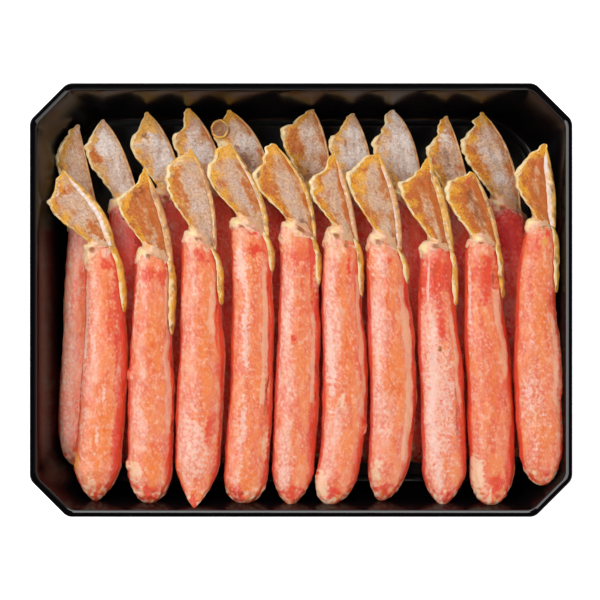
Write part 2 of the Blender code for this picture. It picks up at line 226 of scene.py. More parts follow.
@dataclass
class Surface:
    """A closed surface on a grid: rows run along the piece and columns run round it.

    Attributes:
        points: Places in mm, of shape (rows, columns, 3).
        tints: For each tint, how strong it is at each point.
        ends: How the two ends are closed.
    """

    points: Array
    tints: dict[Tint, Array] = field(default_factory=dict)
    ends: EndFace = EndFace.FAN

    def end_faces(self, ring: Array, pole: int) -> Array:
        """Faces that close one end.

        Args:
            ring: Vertex numbers of the end ring, in order.
            pole: Vertex number of the ring's middle.

        Returns:
            Rows of four vertex numbers; a triangle repeats its last one.
        """
        after = np.roll(ring, -1)
        if self.ends is EndFace.FAN:
            poles = np.full(len(ring), pole)
            return np.stack([ring, after, poles, poles], axis=-1)
        half = len(ring) // 2
        near, far = ring[:half], ring[half:][::-1]
        return np.stack([near[:-1], near[1:], far[1:], far[:-1]], axis=-1)

    def vertices(self) -> Array:
        """All grid points and, where fans close the ends, the middles of the two end rings."""
        poles = [self.points[0].mean(axis=0), self.points[-1].mean(axis=0)] if self.ends is EndFace.FAN else []
        return np.vstack([self.points.reshape(-1, 3), *poles])

    def tint_values(self, tint: Tint) -> Array:
        """A tint's strength at each vertex, 0 where the surface hasn't got it."""
        strength = self.tints.get(tint, np.zeros(self.points.shape[:2]))
        poles = [strength[0].mean(), strength[-1].mean()] if self.ends is EndFace.FAN else []
        return np.clip(np.concatenate([strength.ravel(), poles]), 0.0, 1.0)

    def faces(self) -> tuple[Array, Array]:
        """Faces that look outwards, and a UV map in mm for their corners.

        The first number of the map is the distance round the row from the point half way round, which is a
        bar's top, and the second is the distance along the rows' middles.

        Returns:
            Rows of four vertex numbers, and rows of four UV places.
        """
        rows, columns = self.points.shape[:2]
        number = np.arange(rows * columns).reshape(rows, columns)
        wrapped = np.concatenate([number, number[:, :1]], axis=1)
        closed = np.concatenate([self.points, self.points[:, :1]], axis=1)
        round_step = np.linalg.norm(np.diff(closed, axis=1), axis=-1)
        round_it = np.concatenate([np.zeros((rows, 1)), np.cumsum(round_step, axis=1)], axis=1)
        round_it = round_it - round_it[:, -1:] / 2
        step = np.linalg.norm(np.diff(self.points.mean(axis=1), axis=0), axis=-1)
        along = np.concatenate([[0.0], np.cumsum(step)])
        flat = np.stack([round_it, np.broadcast_to(along[:, None], round_it.shape)], axis=-1)

        def corners(grid: Array) -> Array:
            """The four corners of each cell of a grid."""
            return np.stack([grid[:-1, :-1], grid[:-1, 1:], grid[1:, 1:], grid[1:, :-1]], axis=2)

        first = self.end_faces(number[0], rows * columns)[:, ::-1]
        last = self.end_faces(number[-1], rows * columns + 1)
        faces = np.vstack([corners(wrapped).reshape(-1, 4), first, last])
        ends = [np.tile(flat[row, 0], (len(part), 4, 1)) for row, part in ((0, first), (-1, last))]
        uvs = np.concatenate([corners(flat).reshape(-1, 4, 2), *ends])
        # Six times the enclosed volume is negative where the faces look inwards
        a, b, c, d = (self.vertices()[faces[:, i]] for i in range(4))
        if np.einsum("ij,ij->", a, np.cross(b, c)) + np.einsum("ij,ij->", a, np.cross(c, d)) < 0:
            return faces[:, ::-1], uvs[:, ::-1]
        return faces, uvs


def make_mesh(name: str, surfaces: list[Surface], offset: float = 0.0) -> bpy.types.Mesh:
    """Puts surfaces into one mesh, in metres, with their tints and their UV map in mm.

    Args:
        name: The mesh's name.
        surfaces: The surfaces.
        offset: Added to the UV map in mm, so that two pieces don't show the same pattern.

    Returns:
        The mesh, with smooth faces.
    """
    vertices = [surface.vertices() for surface in surfaces]
    first = np.concatenate([[0], np.cumsum([len(part) for part in vertices])[:-1]])
    grids = [surface.faces() for surface in surfaces]
    faces = np.concatenate([part + start for (part, _), start in zip(grids, first)])
    uvs = np.concatenate([part for _, part in grids]) + offset
    # A triangle is a face that names one vertex twice in a row: that corner is left out once
    keep = faces != np.roll(faces, -1, axis=1)
    sizes = keep.sum(axis=1)
    mesh = bpy.data.meshes.new(name)
    mesh.vertices.add(sum(len(part) for part in vertices))
    mesh.vertices.foreach_set("co", (np.concatenate(vertices) * MM).astype(np.float32).ravel())
    mesh.loops.add(int(sizes.sum()))
    mesh.loops.foreach_set("vertex_index", faces[keep].astype(np.int32))
    mesh.polygons.add(len(faces))
    mesh.polygons.foreach_set("loop_start", np.concatenate([[0], np.cumsum(sizes)[:-1]]).astype(np.int32))
    mesh.polygons.foreach_set("use_smooth", np.ones(len(faces), dtype=bool))
    mesh.update(calc_edges=True)
    mesh.uv_layers.new(name=UV_MAP).data.foreach_set("uv", uvs[keep].astype(np.float32).ravel())
    for tint in (tint for tint in Tint if any(tint in surface.tints for surface in surfaces)):
        values = np.concatenate([surface.tint_values(tint) for surface in surfaces])
        mesh.attributes.new(tint.value, "FLOAT", "POINT").data.foreach_set("value", values.astype(np.float32))
    mesh.validate()
    return mesh


def put(name: str, surfaces: list[Surface], finish: "Finish", nodes: tuple[str, ...] = (),
        offset: float = 0.0) -> bpy.types.Object:
    """Makes a piece of surfaces, dresses it, and lets it ride on the tray's body.

    Args:
        name: The piece's name.
        surfaces: Its shape.
        finish: What it is made of.
        nodes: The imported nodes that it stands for.
        offset: Shift of its pattern in mm.

    Returns:
        The piece.
    """
    mesh = make_mesh(name, surfaces, offset)
    mesh.materials.append(finish.material())
    piece = bpy.data.objects.new(name, mesh)
    bpy.context.collection.objects.link(piece)
    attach(piece, "root")
    if nodes:
        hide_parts(*nodes)
    LOG.info("%s: %d faces", name, len(mesh.polygons))
    return piece


# Finishes


class Texture(Enum):
    """Kinds of pattern. The value ends the type name of its node."""

    CLOUDS = "TexNoise"
    CELLS = "TexVoronoi"


def linear(colour: str) -> tuple[float, float, float, float]:
    """Turns an sRGB hex value such as "#F2935F" into linear red, green, blue and alpha."""
    shares = [int(colour[i : i + 2], 16) / 255 for i in (1, 3, 5)]
    return (*[c / 12.92 if c <= 0.04045 else ((c + 0.055) / 1.055) ** 2.4 for c in shares], 1.0)


def feed(tree: Tree, node: Node, inputs: dict) -> None:
    """Sets a node's inputs.

    Args:
        tree: The node tree.
        node: The node.
        inputs: For each input, by name or number, a value or the output that feeds it.
    """
    for key, value in inputs.items():
        if isinstance(value, Output):
            tree.links.new(value, node.inputs[key])
        else:
            node.inputs[key].default_value = value


def add_node(tree: Tree, kind: str, inputs: dict, **settings) -> Node:
    """Adds a node with its settings, values and links.

    Args:
        tree: The node tree.
        kind: The end of the node's type name, after "ShaderNode".
        inputs: For each input, by name or number, a value or the output that feeds it.
        **settings: Properties of the node itself.

    Returns:
        The node.
    """
    node = tree.nodes.new(f"ShaderNode{kind}")
    for key, value in settings.items():
        setattr(node, key, value)
    feed(tree, node, inputs)
    return node


def combine(tree: Tree, operation: str, *values: Output | float, **settings) -> Output:
    """The result of an operation, such as MULTIPLY, on outputs and numbers."""
    return add_node(tree, "Math", dict(enumerate(values)), operation=operation, **settings).outputs[0]


def step(tree: Tree, value: Output, low: float, high: float, **settings) -> Output:
    """0 where the value is `low`, 1 where it is `high`, and in between evenly. `low` may be the larger."""
    return add_node(tree, "MapRange", {0: value, 1: low, 2: high}, **settings).outputs[0]


def carried(tree: Tree, tint: Tint) -> Output:
    """A tint's strength, read from the mesh."""
    return add_node(tree, "Attribute", {}, attribute_name=tint.value).outputs["Fac"]


def bumped(tree: Tree, height: Output, strength: float, distance: float) -> Output:
    """The way a surface faces once a pattern of heights, `distance` metres deep, has roughened it."""
    return add_node(tree, "Bump", {"Height": height, "Strength": strength, "Distance": distance}).outputs[0]


def pattern(tree: Tree, kind: Texture, size: tuple[float, float], **inputs: float) -> Output:
    """Adds a texture on the piece's UV map, which is in mm, so that its cells have a real size.

    Args:
        tree: The node tree.
        kind: The kind of pattern.
        size: Size of a cell round and along the piece, in mm.
        **inputs: The texture's other inputs.

    Returns:
        The texture's value of about 0 to 1. For cells it is the distance from their middle.
    """
    places = add_node(tree, "UVMap", {}, uv_map=UV_MAP).outputs[0]
    scale = (1 / size[0], 1 / size[1], 1.0)
    mapped = add_node(tree, "Mapping", {"Vector": places, "Scale": scale}).outputs[0]
    return add_node(tree, kind.value, {"Vector": mapped, "Scale": 1.0, **inputs}).outputs[0]


def ragged(tree: Tree, tint: Tint, texture: Output, depth: float, start: float = 0.12) -> Output:
    """Where a tint shows once a texture has broken up its edge.

    Args:
        tree: The node tree.
        tint: The tint, read from the mesh.
        texture: Values of about 0 to 1.
        depth: How far the texture moves the edge, as a share of the tint's strength.
        start: The strength at which it begins to show.

    Returns:
        The output that carries the broken-up strength.
    """
    strength = carried(tree, tint)
    shift = combine(tree, "SUBTRACT", texture, 0.5)
    moved = combine(tree, "MULTIPLY_ADD", shift, depth * 2, strength)
    shown = step(tree, moved, start, start + EDGE_RANGE, interpolation_type="SMOOTHSTEP")
    # A place without the tint stays without it, whatever the texture says
    return combine(tree, "MULTIPLY", shown, step(tree, strength, 0.0, FULLY_THERE))


def coats(tree: Tree, base: str, layers: list[tuple[str, Output, float]]) -> Output:
    """Lays coats of colour over a base, one after the other.

    Args:
        tree: The node tree.
        base: The base colour, as hex.
        layers: For each coat its colour, where it lies, and how much it covers there.

    Returns:
        The output that carries the colour.
    """
    colour = linear(base)
    for hue, place, cover in layers:
        amount = combine(tree, "MULTIPLY", place, cover)
        mixed = add_node(tree, "Mix", {0: amount, 6: colour, 7: linear(hue)}, data_type="RGBA")
        colour = mixed.outputs[2]
    return colour


@dataclass(frozen=True)
class Finish:
    """A material made once and shared by its pieces."""

    name: str

    def material(self) -> bpy.types.Material:
        """The material, made when it is first asked for."""
        known = bpy.data.materials.get(self.name)
        if known:
            return known
        material = bpy.data.materials.new(self.name)
        material.use_nodes = True
        self.fill(material.node_tree, material.node_tree.nodes["Principled BSDF"])
        return material

    def fill(self, tree: Tree, shader: Node) -> None:
        """Builds the nodes; each kind of finish has its own."""
        raise NotImplementedError


@dataclass(frozen=True)
class ThermoformedPlastic(Finish):
    """Black polystyrene sheet, drawn over a mould: smooth and dark, with a soft gloss and a faint waviness."""

    black: str = "#060406"
    scuffed: str = "#0F0C0F"
    wave: float = 16.0  # mm between the sheet's faint waves
    scuff: float = 1.2  # mm
    roughness: tuple[float, float] = (0.25, 0.07)  # of the walls and floor, and of the polished rim

    def fill(self, tree: Tree, shader: Node) -> None:
        """Scuffs lift the black a little; long waves bend what it mirrors.

        Args:
            tree: The material's node tree.
            shader: Its Principled BSDF.
        """
        scuffs = pattern(tree, Texture.CLOUDS, (self.scuff, self.scuff), Detail=6.0)
        waves = pattern(tree, Texture.CLOUDS, (self.wave, self.wave), Detail=1.0)
        dull, polished = self.roughness
        rough = add_node(tree, "MapRange", {0: carried(tree, Tint.PEARL), 3: dull, 4: polished}).outputs[0]
        feed(tree, shader, {
            "Base Color": coats(tree, self.black, [(self.scuffed, step(tree, scuffs, 0.6, 0.8), 0.6)]),
            "Roughness": rough,
            "IOR": 1.55,
            "Normal": bumped(tree, waves, 0.2, 0.0005),
        })


@dataclass(frozen=True)
class PeeledMeat(Finish):
    """Raw crab leg meat without its shell: moist salmon muscle under a thin skin of red pigment.

    The pigment lies between fine pale grains, which stand in rows where the shell's lining let go, and it is
    thickest along the flanks. Ice has whitened what faced up. Some of the pink and the frost is painted light: a
    paler left side and a highlight streak where the left light falls.
    thickest along the flanks. Ice has whitened what faced up.
    """

    salmon: str = "#EB7D5C"
    orange: str = "#F08A50"
    pale: str = "#F9C6AA"
    pink: str = "#F5BBA6"
    net: str = "#DE5630"
    red: str = "#E02C0C"
    deep: str = "#9C120A"
    frost: str = "#F8D8CA"
    tendon: str = "#F0B795"
    cream: str = "#F5D2AE"
    amber: str = "#EF8139"
    gold: str = "#E8A446"
    pearl: str = "#F8DFA2"
    pit: str = "#A0601C"
    glass: str = "#CDA274"
    mottle: tuple[float, float] = (4.0, 13.0)  # mm round and along the bar, like the next two
    blotch: tuple[float, float] = (2.6, 4.2)
    speckle: tuple[float, float] = (1.2, 1.4)
    grain: float = 1.3  # mm between grains; the real ones are about 1 mm
    glow: float = 0.25  # share of the light that scatters under the surface
    reach: float = 0.0015  # and how far red light gets there, in m

    def fill(self, tree: Tree, shader: Node) -> None:
        """Muscle first, then blotches, net and grains, then the stains of the mesh, some of them painted light, under
        a film of water.

        Args:
            tree: The material's node tree.
            shader: Its Principled BSDF.
        """
        mottle = pattern(tree, Texture.CLOUDS, self.mottle, Detail=5.0, Roughness=0.65)
        blotches = pattern(tree, Texture.CLOUDS, self.blotch, Detail=3.0, Roughness=0.6)
        speckle = pattern(tree, Texture.CLOUDS, self.speckle, Detail=3.0, Roughness=0.7)
        grains = pattern(tree, Texture.CELLS, (self.grain, self.grain * 1.15), Randomness=1.0)
        dots, net = step(tree, grains, 0.42, 0.12), step(tree, grains, 0.38, 0.75)
        # Dots and net show where the meat is pink with ice, and in some stretches of the rest
        patchy = step(tree, mottle, 0.46, 0.6)
        patchy = combine(tree, "MULTIPLY_ADD", carried(tree, Tint.PINK), 0.7, patchy, use_clamp=True)
        seen_dots, seen_net = (combine(tree, "MULTIPLY", place, patchy) for place in (dots, net))
        feed(tree, shader, {
            "Base Color": coats(tree, self.salmon, [
                (self.orange, step(tree, mottle, 0.56, 0.44), 0.9),
                (self.amber, ragged(tree, Tint.AMBER, mottle, 0.6), 0.85),
                # Pink, which on the bars' left halves is partly painted light
                (self.pink, ragged(tree, Tint.PINK, blotches, 0.5), 0.85),
                (self.pale, step(tree, blotches, 0.52, 0.64), 0.35),
                (self.net, seen_net, 0.55),
                (self.pale, seen_dots, 0.5),
                (self.net, step(tree, speckle, 0.46, 0.32), 0.25),
                (self.frost, step(tree, speckle, 0.55, 0.7), 0.35),
                (self.red, ragged(tree, Tint.RED, speckle, 0.75), 0.8),
                (self.deep, ragged(tree, Tint.DEEP, speckle, 0.6), 0.75),
                (self.tendon, ragged(tree, Tint.TENDON, blotches, 0.8), 0.62),
                # Frost, which down the bars' left thirds is partly painted highlight
                (self.frost, ragged(tree, Tint.FROST, speckle, 1.0), 0.6),
                (self.cream, ragged(tree, Tint.CREAM, blotches, 0.4), 0.75),
                (self.glass, ragged(tree, Tint.GLASS, speckle, 0.7), 0.8),
                (self.gold, ragged(tree, Tint.GOLD, mottle, 0.6), 0.85),
                (self.pearl, ragged(tree, Tint.PEARL, speckle, 0.5), 0.95),
                (self.pit, ragged(tree, Tint.PIT, speckle, 0.4), 0.9),
            ]),
            "Roughness": 0.5,
            "Specular IOR Level": 0.2,
            "Coat Weight": 0.8,
            "Coat Roughness": 0.13,
            "Subsurface Weight": self.glow,
            "Subsurface Radius": (1.0, 0.35, 0.15),
            "Subsurface Scale": self.reach,
        })
        relief = bumped(tree, combine(tree, "MULTIPLY_ADD", dots, 0.5, speckle), 0.9, 0.0003)
        feed(tree, shader, {"Normal": relief, "Coat Normal": relief})


@dataclass(frozen=True)
class CutShell(Finish):
    """A crab leg's thin shell, cut open: orange and finely pimpled outside, cream at its cut edges."""

    orange: str = "#E0A250"
    brown: str = "#86461A"
    yellow: str = "#F2B436"
    cream: str = "#F7E0AE"
    lining: str = "#F2DFD8"
    pink: str = "#DDA082"
    mottle: tuple[float, float] = (2.6, 4.0)  # mm, like the next two
    fleck: tuple[float, float] = (1.2, 1.6)
    pimple: float = 1.1

    def fill(self, tree: Tree, shader: Node) -> None:
        """Mottled orange with cream pimples, then brown, pink, gold and cream stains, and the pale lining last.

        Args:
            tree: The material's node tree.
            shader: Its Principled BSDF.
        """
        mottle = pattern(tree, Texture.CLOUDS, self.mottle, Detail=5.0, Roughness=0.6)
        fine = pattern(tree, Texture.CLOUDS, self.fleck, Detail=3.0)
        cells = pattern(tree, Texture.CELLS, (self.pimple, self.pimple), Randomness=0.9)
        pimples = step(tree, cells, 0.5, 0.1)
        dull, flecks = step(tree, mottle, 0.46, 0.32), step(tree, fine, 0.56, 0.7)
        feed(tree, shader, {
            "Base Color": coats(tree, self.orange, [
                (self.yellow, step(tree, mottle, 0.42, 0.6), 0.85),
                (self.brown, dull, 0.4),
                (self.cream, pimples, 0.4),
                (self.cream, flecks, 0.65),
                (self.brown, ragged(tree, Tint.DEEP, mottle, 0.5), 0.85),
                (self.pink, ragged(tree, Tint.RED, mottle, 0.4), 0.85),
                (self.yellow, ragged(tree, Tint.GOLD, mottle, 0.4), 0.85),
                (self.cream, ragged(tree, Tint.CREAM, fine, 0.9), 0.85),
                (self.brown, dull, 0.2),
                (self.cream, flecks, 0.3),
                (self.lining, ragged(tree, Tint.PEARL, fine, 0.35), 0.9),
            ]),
            "Roughness": 0.32,
            "IOR": 1.5,
            "Coat Weight": 0.5,
            "Coat Roughness": 0.1,
            "Subsurface Weight": 0.15,
            "Subsurface Radius": (1.0, 0.6, 0.3),
            "Subsurface Scale": 0.001,
            "Normal": bumped(tree, combine(tree, "MULTIPLY_ADD", pimples, 0.6, mottle), 0.8, 0.0004),
        })


@dataclass(frozen=True)
class FrozenFlesh(Finish):
    """Raw flesh in the opened shell: grey-pink and glassy, amber where the shell shines through, with frost."""

    pink: str = "#D8AE8A"
    grey: str = "#CCA898"
    tan: str = "#D4933E"
    amber: str = "#C45A04"
    brown: str = "#7A3410"
    gold: str = "#F0AC28"
    red: str = "#CE5230"
    frost: str = "#F0E4DC"
    cream: str = "#F4DCA8"
    mottle: tuple[float, float] = (2.8, 4.5)  # mm
    crystal: tuple[float, float] = (0.8, 0.9)  # mm; the real ones are finer

    def fill(self, tree: Tree, shader: Node) -> None:
        """Two greys and frost, then tan that deepens to amber, gold edges, and brown seams between the crystals.

        Args:
            tree: The material's node tree.
            shader: Its Principled BSDF.
        """
        mottle = pattern(tree, Texture.CLOUDS, self.mottle, Detail=5.0, Roughness=0.65)
        crystals = pattern(tree, Texture.CLOUDS, self.crystal, Detail=3.0, Roughness=0.7)
        grains = pattern(tree, Texture.CELLS, self.crystal, Randomness=1.0)
        feed(tree, shader, {
            "Base Color": coats(tree, self.pink, [
                (self.grey, step(tree, mottle, 0.44, 0.56), 0.8),
                (self.frost, ragged(tree, Tint.FROST, mottle, 1.2), 0.45),
                (self.frost, ragged(tree, Tint.FROST, crystals, 0.8), 0.6),
                (self.frost, step(tree, crystals, 0.53, 0.66), 0.2),
                (self.tan, ragged(tree, Tint.AMBER, mottle, 1.2), 0.7),
                (self.amber, ragged(tree, Tint.AMBER, mottle, 1.2, 0.3), 0.85),
                (self.brown, ragged(tree, Tint.DEEP, mottle, 0.6), 0.8),
                (self.gold, ragged(tree, Tint.GOLD, crystals, 0.9), 0.8),
                (self.brown, step(tree, crystals, 0.48, 0.34), 0.45),
                (self.brown, step(tree, grains, 0.45, 0.8), 0.2),
                (self.red, ragged(tree, Tint.RED, mottle, 0.4), 0.8),
                (self.cream, ragged(tree, Tint.CREAM, crystals, 0.7), 0.85),
            ]),
            "Roughness": 0.5,
            "Specular IOR Level": 0.15,
            "Coat Weight": 0.35,
            "Coat Roughness": 0.12,
            "Subsurface Weight": 0.15,
            "Subsurface Radius": (1.0, 0.6, 0.4),
            "Subsurface Scale": 0.001,
        })
        relief = bumped(tree, combine(tree, "MULTIPLY_ADD", crystals, 1.0, mottle), 0.9, 0.0004)
        feed(tree, shader, {"Normal": relief, "Coat Normal": relief})


@dataclass(frozen=True)
class StudioPaper(Finish):
    """White background paper: matt, and lit so evenly that it reads as pure white."""

    white: str = "#FDFDFD"

    def fill(self, tree: Tree, shader: Node) -> None:
        """White with a little light of its own; its tooth is too fine to show.

        Args:
            tree: The material's node tree.
            shader: Its Principled BSDF.
        """
        white = linear(self.white)
        feed(tree, shader, {"Base Color": white, "Roughness": 0.9, "Emission Color": white, "Emission Strength": 0.6})


TRAY_SHEET = ThermoformedPlastic("Thermoformed black polystyrene")
UPPER_MEAT = PeeledMeat("Peeled leg meat")
# Painted light: a brightened copy of the meat for the lower bar at the left edge, which lies in the wall's shade.
LIT_EDGE_MEAT = PeeledMeat("Peeled leg meat at the tray's edge", salmon="#FF8C6C", orange="#FFA07A", net="#EC5A3C",
                       glow=0.4)
# Painted shade: a darker, redder copy of the meat for the lower layer, seen in the shade between the upper bars.
LOWER_MEAT = PeeledMeat("Peeled leg meat in the lower layer", salmon="#F4524A", orange="#F06048", net="#D22828",
                        red="#D01420", pale="#F2A08A", pink="#EEA898", amber="#E06038", frost="#F0C8BC", glow=0.9,
                        reach=0.003)
SHELL = CutShell("Cut leg shell")
FLESH = FrozenFlesh("Frozen flesh in the shell")
PAPER = StudioPaper("White studio paper")


# The tray


@dataclass(frozen=True)
class Tray:
    """The eight-sided tray, one thin sheet: a flat rim with a turned edge, steep walls and a flat floor."""

    length: float = 210.4
    depth: float = 168.2
    height: float = 29.0
    corner_leg: float = 14.5  # how far a cut corner runs along each side
    corner_round: float = 5.0
    floor_round: float = 9.0  # how much rounder, and how much more cut, the corners are at the floor
    corner_steps: int = 10
    side_steps: int = 24
    wall: float = 1.2
    bead_inset: float = 14.0  # the low ridge round the floor
    bead_height: float = 0.25
    polished_from: float = 27.4  # height over which the sheet is shiny
    floor_from: tuple[float, float] = (3.0, 11.0)  # insets between which the wall's outline turns into the floor's

    def ring(self, inset: float, z: float) -> Array:
        """The outline moved in by `inset`: eight straight sides joined by arcs.

        Args:
            inset: How far in from the rim's outer edge, in mm.
            z: Height in mm.

        Returns:
            Points in mm, going round once.
        """
        low = float(smooth(*self.floor_from, np.array(inset)))
        half_x, half_y = self.length / 2 - inset, self.depth / 2 - inset
        leg = self.corner_leg - inset * (2 - math.sqrt(2)) + self.floor_round * 0.6 * low
        radius = self.corner_round + self.floor_round * low
        corners = [(half_x, half_y - leg), (half_x - leg, half_y)]
        corners += [(-x, y) for x, y in reversed(corners)]
        corners = np.array(corners + [(-x, -y) for x, y in corners])
        turns = np.linspace(-math.pi / 8, math.pi / 8, self.corner_steps)
        pull = radius * math.tan(math.pi / 8)
        pieces = []
        for i, corner in enumerate(corners):
            following = corners[(i + 1) % len(corners)]
            before, after = corners[i - 1] - corner, following - corner
            before, after = before / np.linalg.norm(before), after / np.linalg.norm(after)
            inward = (before + after) / np.linalg.norm(before + after)
            centre = corner + inward * radius / math.cos(math.pi / 8)
            angle = math.atan2(-inward[1], -inward[0]) + turns
            arc = centre + radius * np.stack([np.cos(angle), np.sin(angle)], axis=-1)
            shares = np.linspace(0, 1, self.side_steps + 1)[1:-1]
            pieces += [arc, between(corner + after * pull, following - after * pull, shares)]
        flat = np.concatenate(pieces)
        return raised(flat, np.full(len(flat), z))

    def profile(self) -> list[tuple[float, float]]:
        """Inset and height from the underside's middle, out over the rim and back to the floor's middle.

        Returns:
            The sheet's cross section in mm. Two near points at each end of a flat keep it flat to the eye.
        """
        top, wall, bead, lift = self.height, self.wall, self.bead_inset, self.bead_height
        under = [(60.0, 0.0), (20.0, 0.0), (12.8, 0.0), (12.0, 0.1), (11.0, 0.5), (9.9, 1.5), (8.9, 3.4), (6.9, 8.8),
                 (5.1, 14.5), (3.5, 19.5), (2.2, 24.2), (1.6, 26.6), (1.5, 27.4), (1.2, 27.75), (0.8, 27.7)]
        edge = [(0.72, 27.2), (0.7, 26.3), (0.55, 26.2), (0.08, 26.25), (0.0, 26.4), (0.0, 28.6), (0.02, 28.75),
                (0.08, 28.9), (0.18, top - 0.02), (0.3, top), (0.5, top)]
        lip = [(1.3, top), (1.42, top - 0.02), (1.54, top - 0.06), (1.8, top - 0.175), (2.06, top - 0.29),
               (2.32, top - 0.405), (2.5, top - 0.52), (2.66, top - 0.7), (2.84, top - 0.97), (3.05, top - 1.38)]
        inside = [(3.35, 27.0), (3.8, 25.9), (4.3, 24.4), (4.85, 22.5), (5.5, 20.0), (6.75, 15.0), (8.2, 9.2),
                  (9.75, 3.8), (10.4, 2.4), (11.2, 1.6), (12.0, 1.27), (12.8, wall)]
        floor = [(bead - 0.7, wall), (bead - 0.35, wall + lift * 0.5), (bead, wall + lift),
                 (bead + 0.35, wall + lift * 0.5), (bead + 0.7, wall), (20.0, wall), (60.0, wall)]
        return under + edge + lip + inside + floor

    def surface(self) -> Surface:
        """The profile carried round the eight-sided outline."""
        profile = self.profile()
        points = np.stack([self.ring(inset, z) for inset, z in profile])
        polished = np.array([float(z > self.polished_from) for _, z in profile])
        return Surface(points, {Tint.PEARL: polished[:, None] * np.ones(points.shape[:2])})

    def build(self) -> None:
        """Makes the tray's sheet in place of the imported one."""
        put("tray_sheet", [self.surface()], TRAY_SHEET, ("tray",))


# The bars of meat


@dataclass(frozen=True)
class Patch:
    """An oval stain on a bar or on a shell's flesh, with a broken edge. Some frost patches on the bars are partly
    painted highlight.
    """

    tint: Tint
    across: float  # -1 at the left flank, 1 at the right
    y: float  # in mm
    wide: float  # half its width, on the scale of `across`
    long: float  # half its length in mm
    strength: float = 1.0
    lift: float = 0.0  # how far it stands up, in mm

    def strengths(self, across: Array, points: Array) -> Array:
        """Full inside the oval, and fading out over its edge, which a ripple bends.

        Args:
            across: Place across the piece, -1 to 1.
            points: Places in mm.

        Returns:
            The stain's share at each place, 0 to 1.
        """
        away = np.hypot((across - self.across) / self.wide, (points[..., 1] - self.y) / self.long)
        return smooth(1.45, 0.4, away + 0.2 * ripple(points, 5.0, 31) + 0.3 * ripple(points, 1.8, 37))


def stained(fields: dict[Tint, Array], patches: tuple[Patch, ...], across: Array, points: Array,
            seen: Array | float = 1.0) -> dict[Tint, Array]:
    """Lays patches over the tints that are there, one after the other. A patch hides what lies under it.

    Args:
        fields: The strength of each tint at each point.
        patches: The patches.
        across: -1 at the left edge to 1 at the right, at each point.
        points: Places in mm.
        seen: The share of a patch that shows, at each point.

    Returns:
        The strengths with the patches.
    """
    for patch in patches:
        share = patch.strengths(across, points) * seen
        fields = {tint: old * (1 - 0.7 * share * patch.strength) for tint, old in fields.items()}
        fields[patch.tint] = fields[patch.tint] + patch.strength * share
    return fields


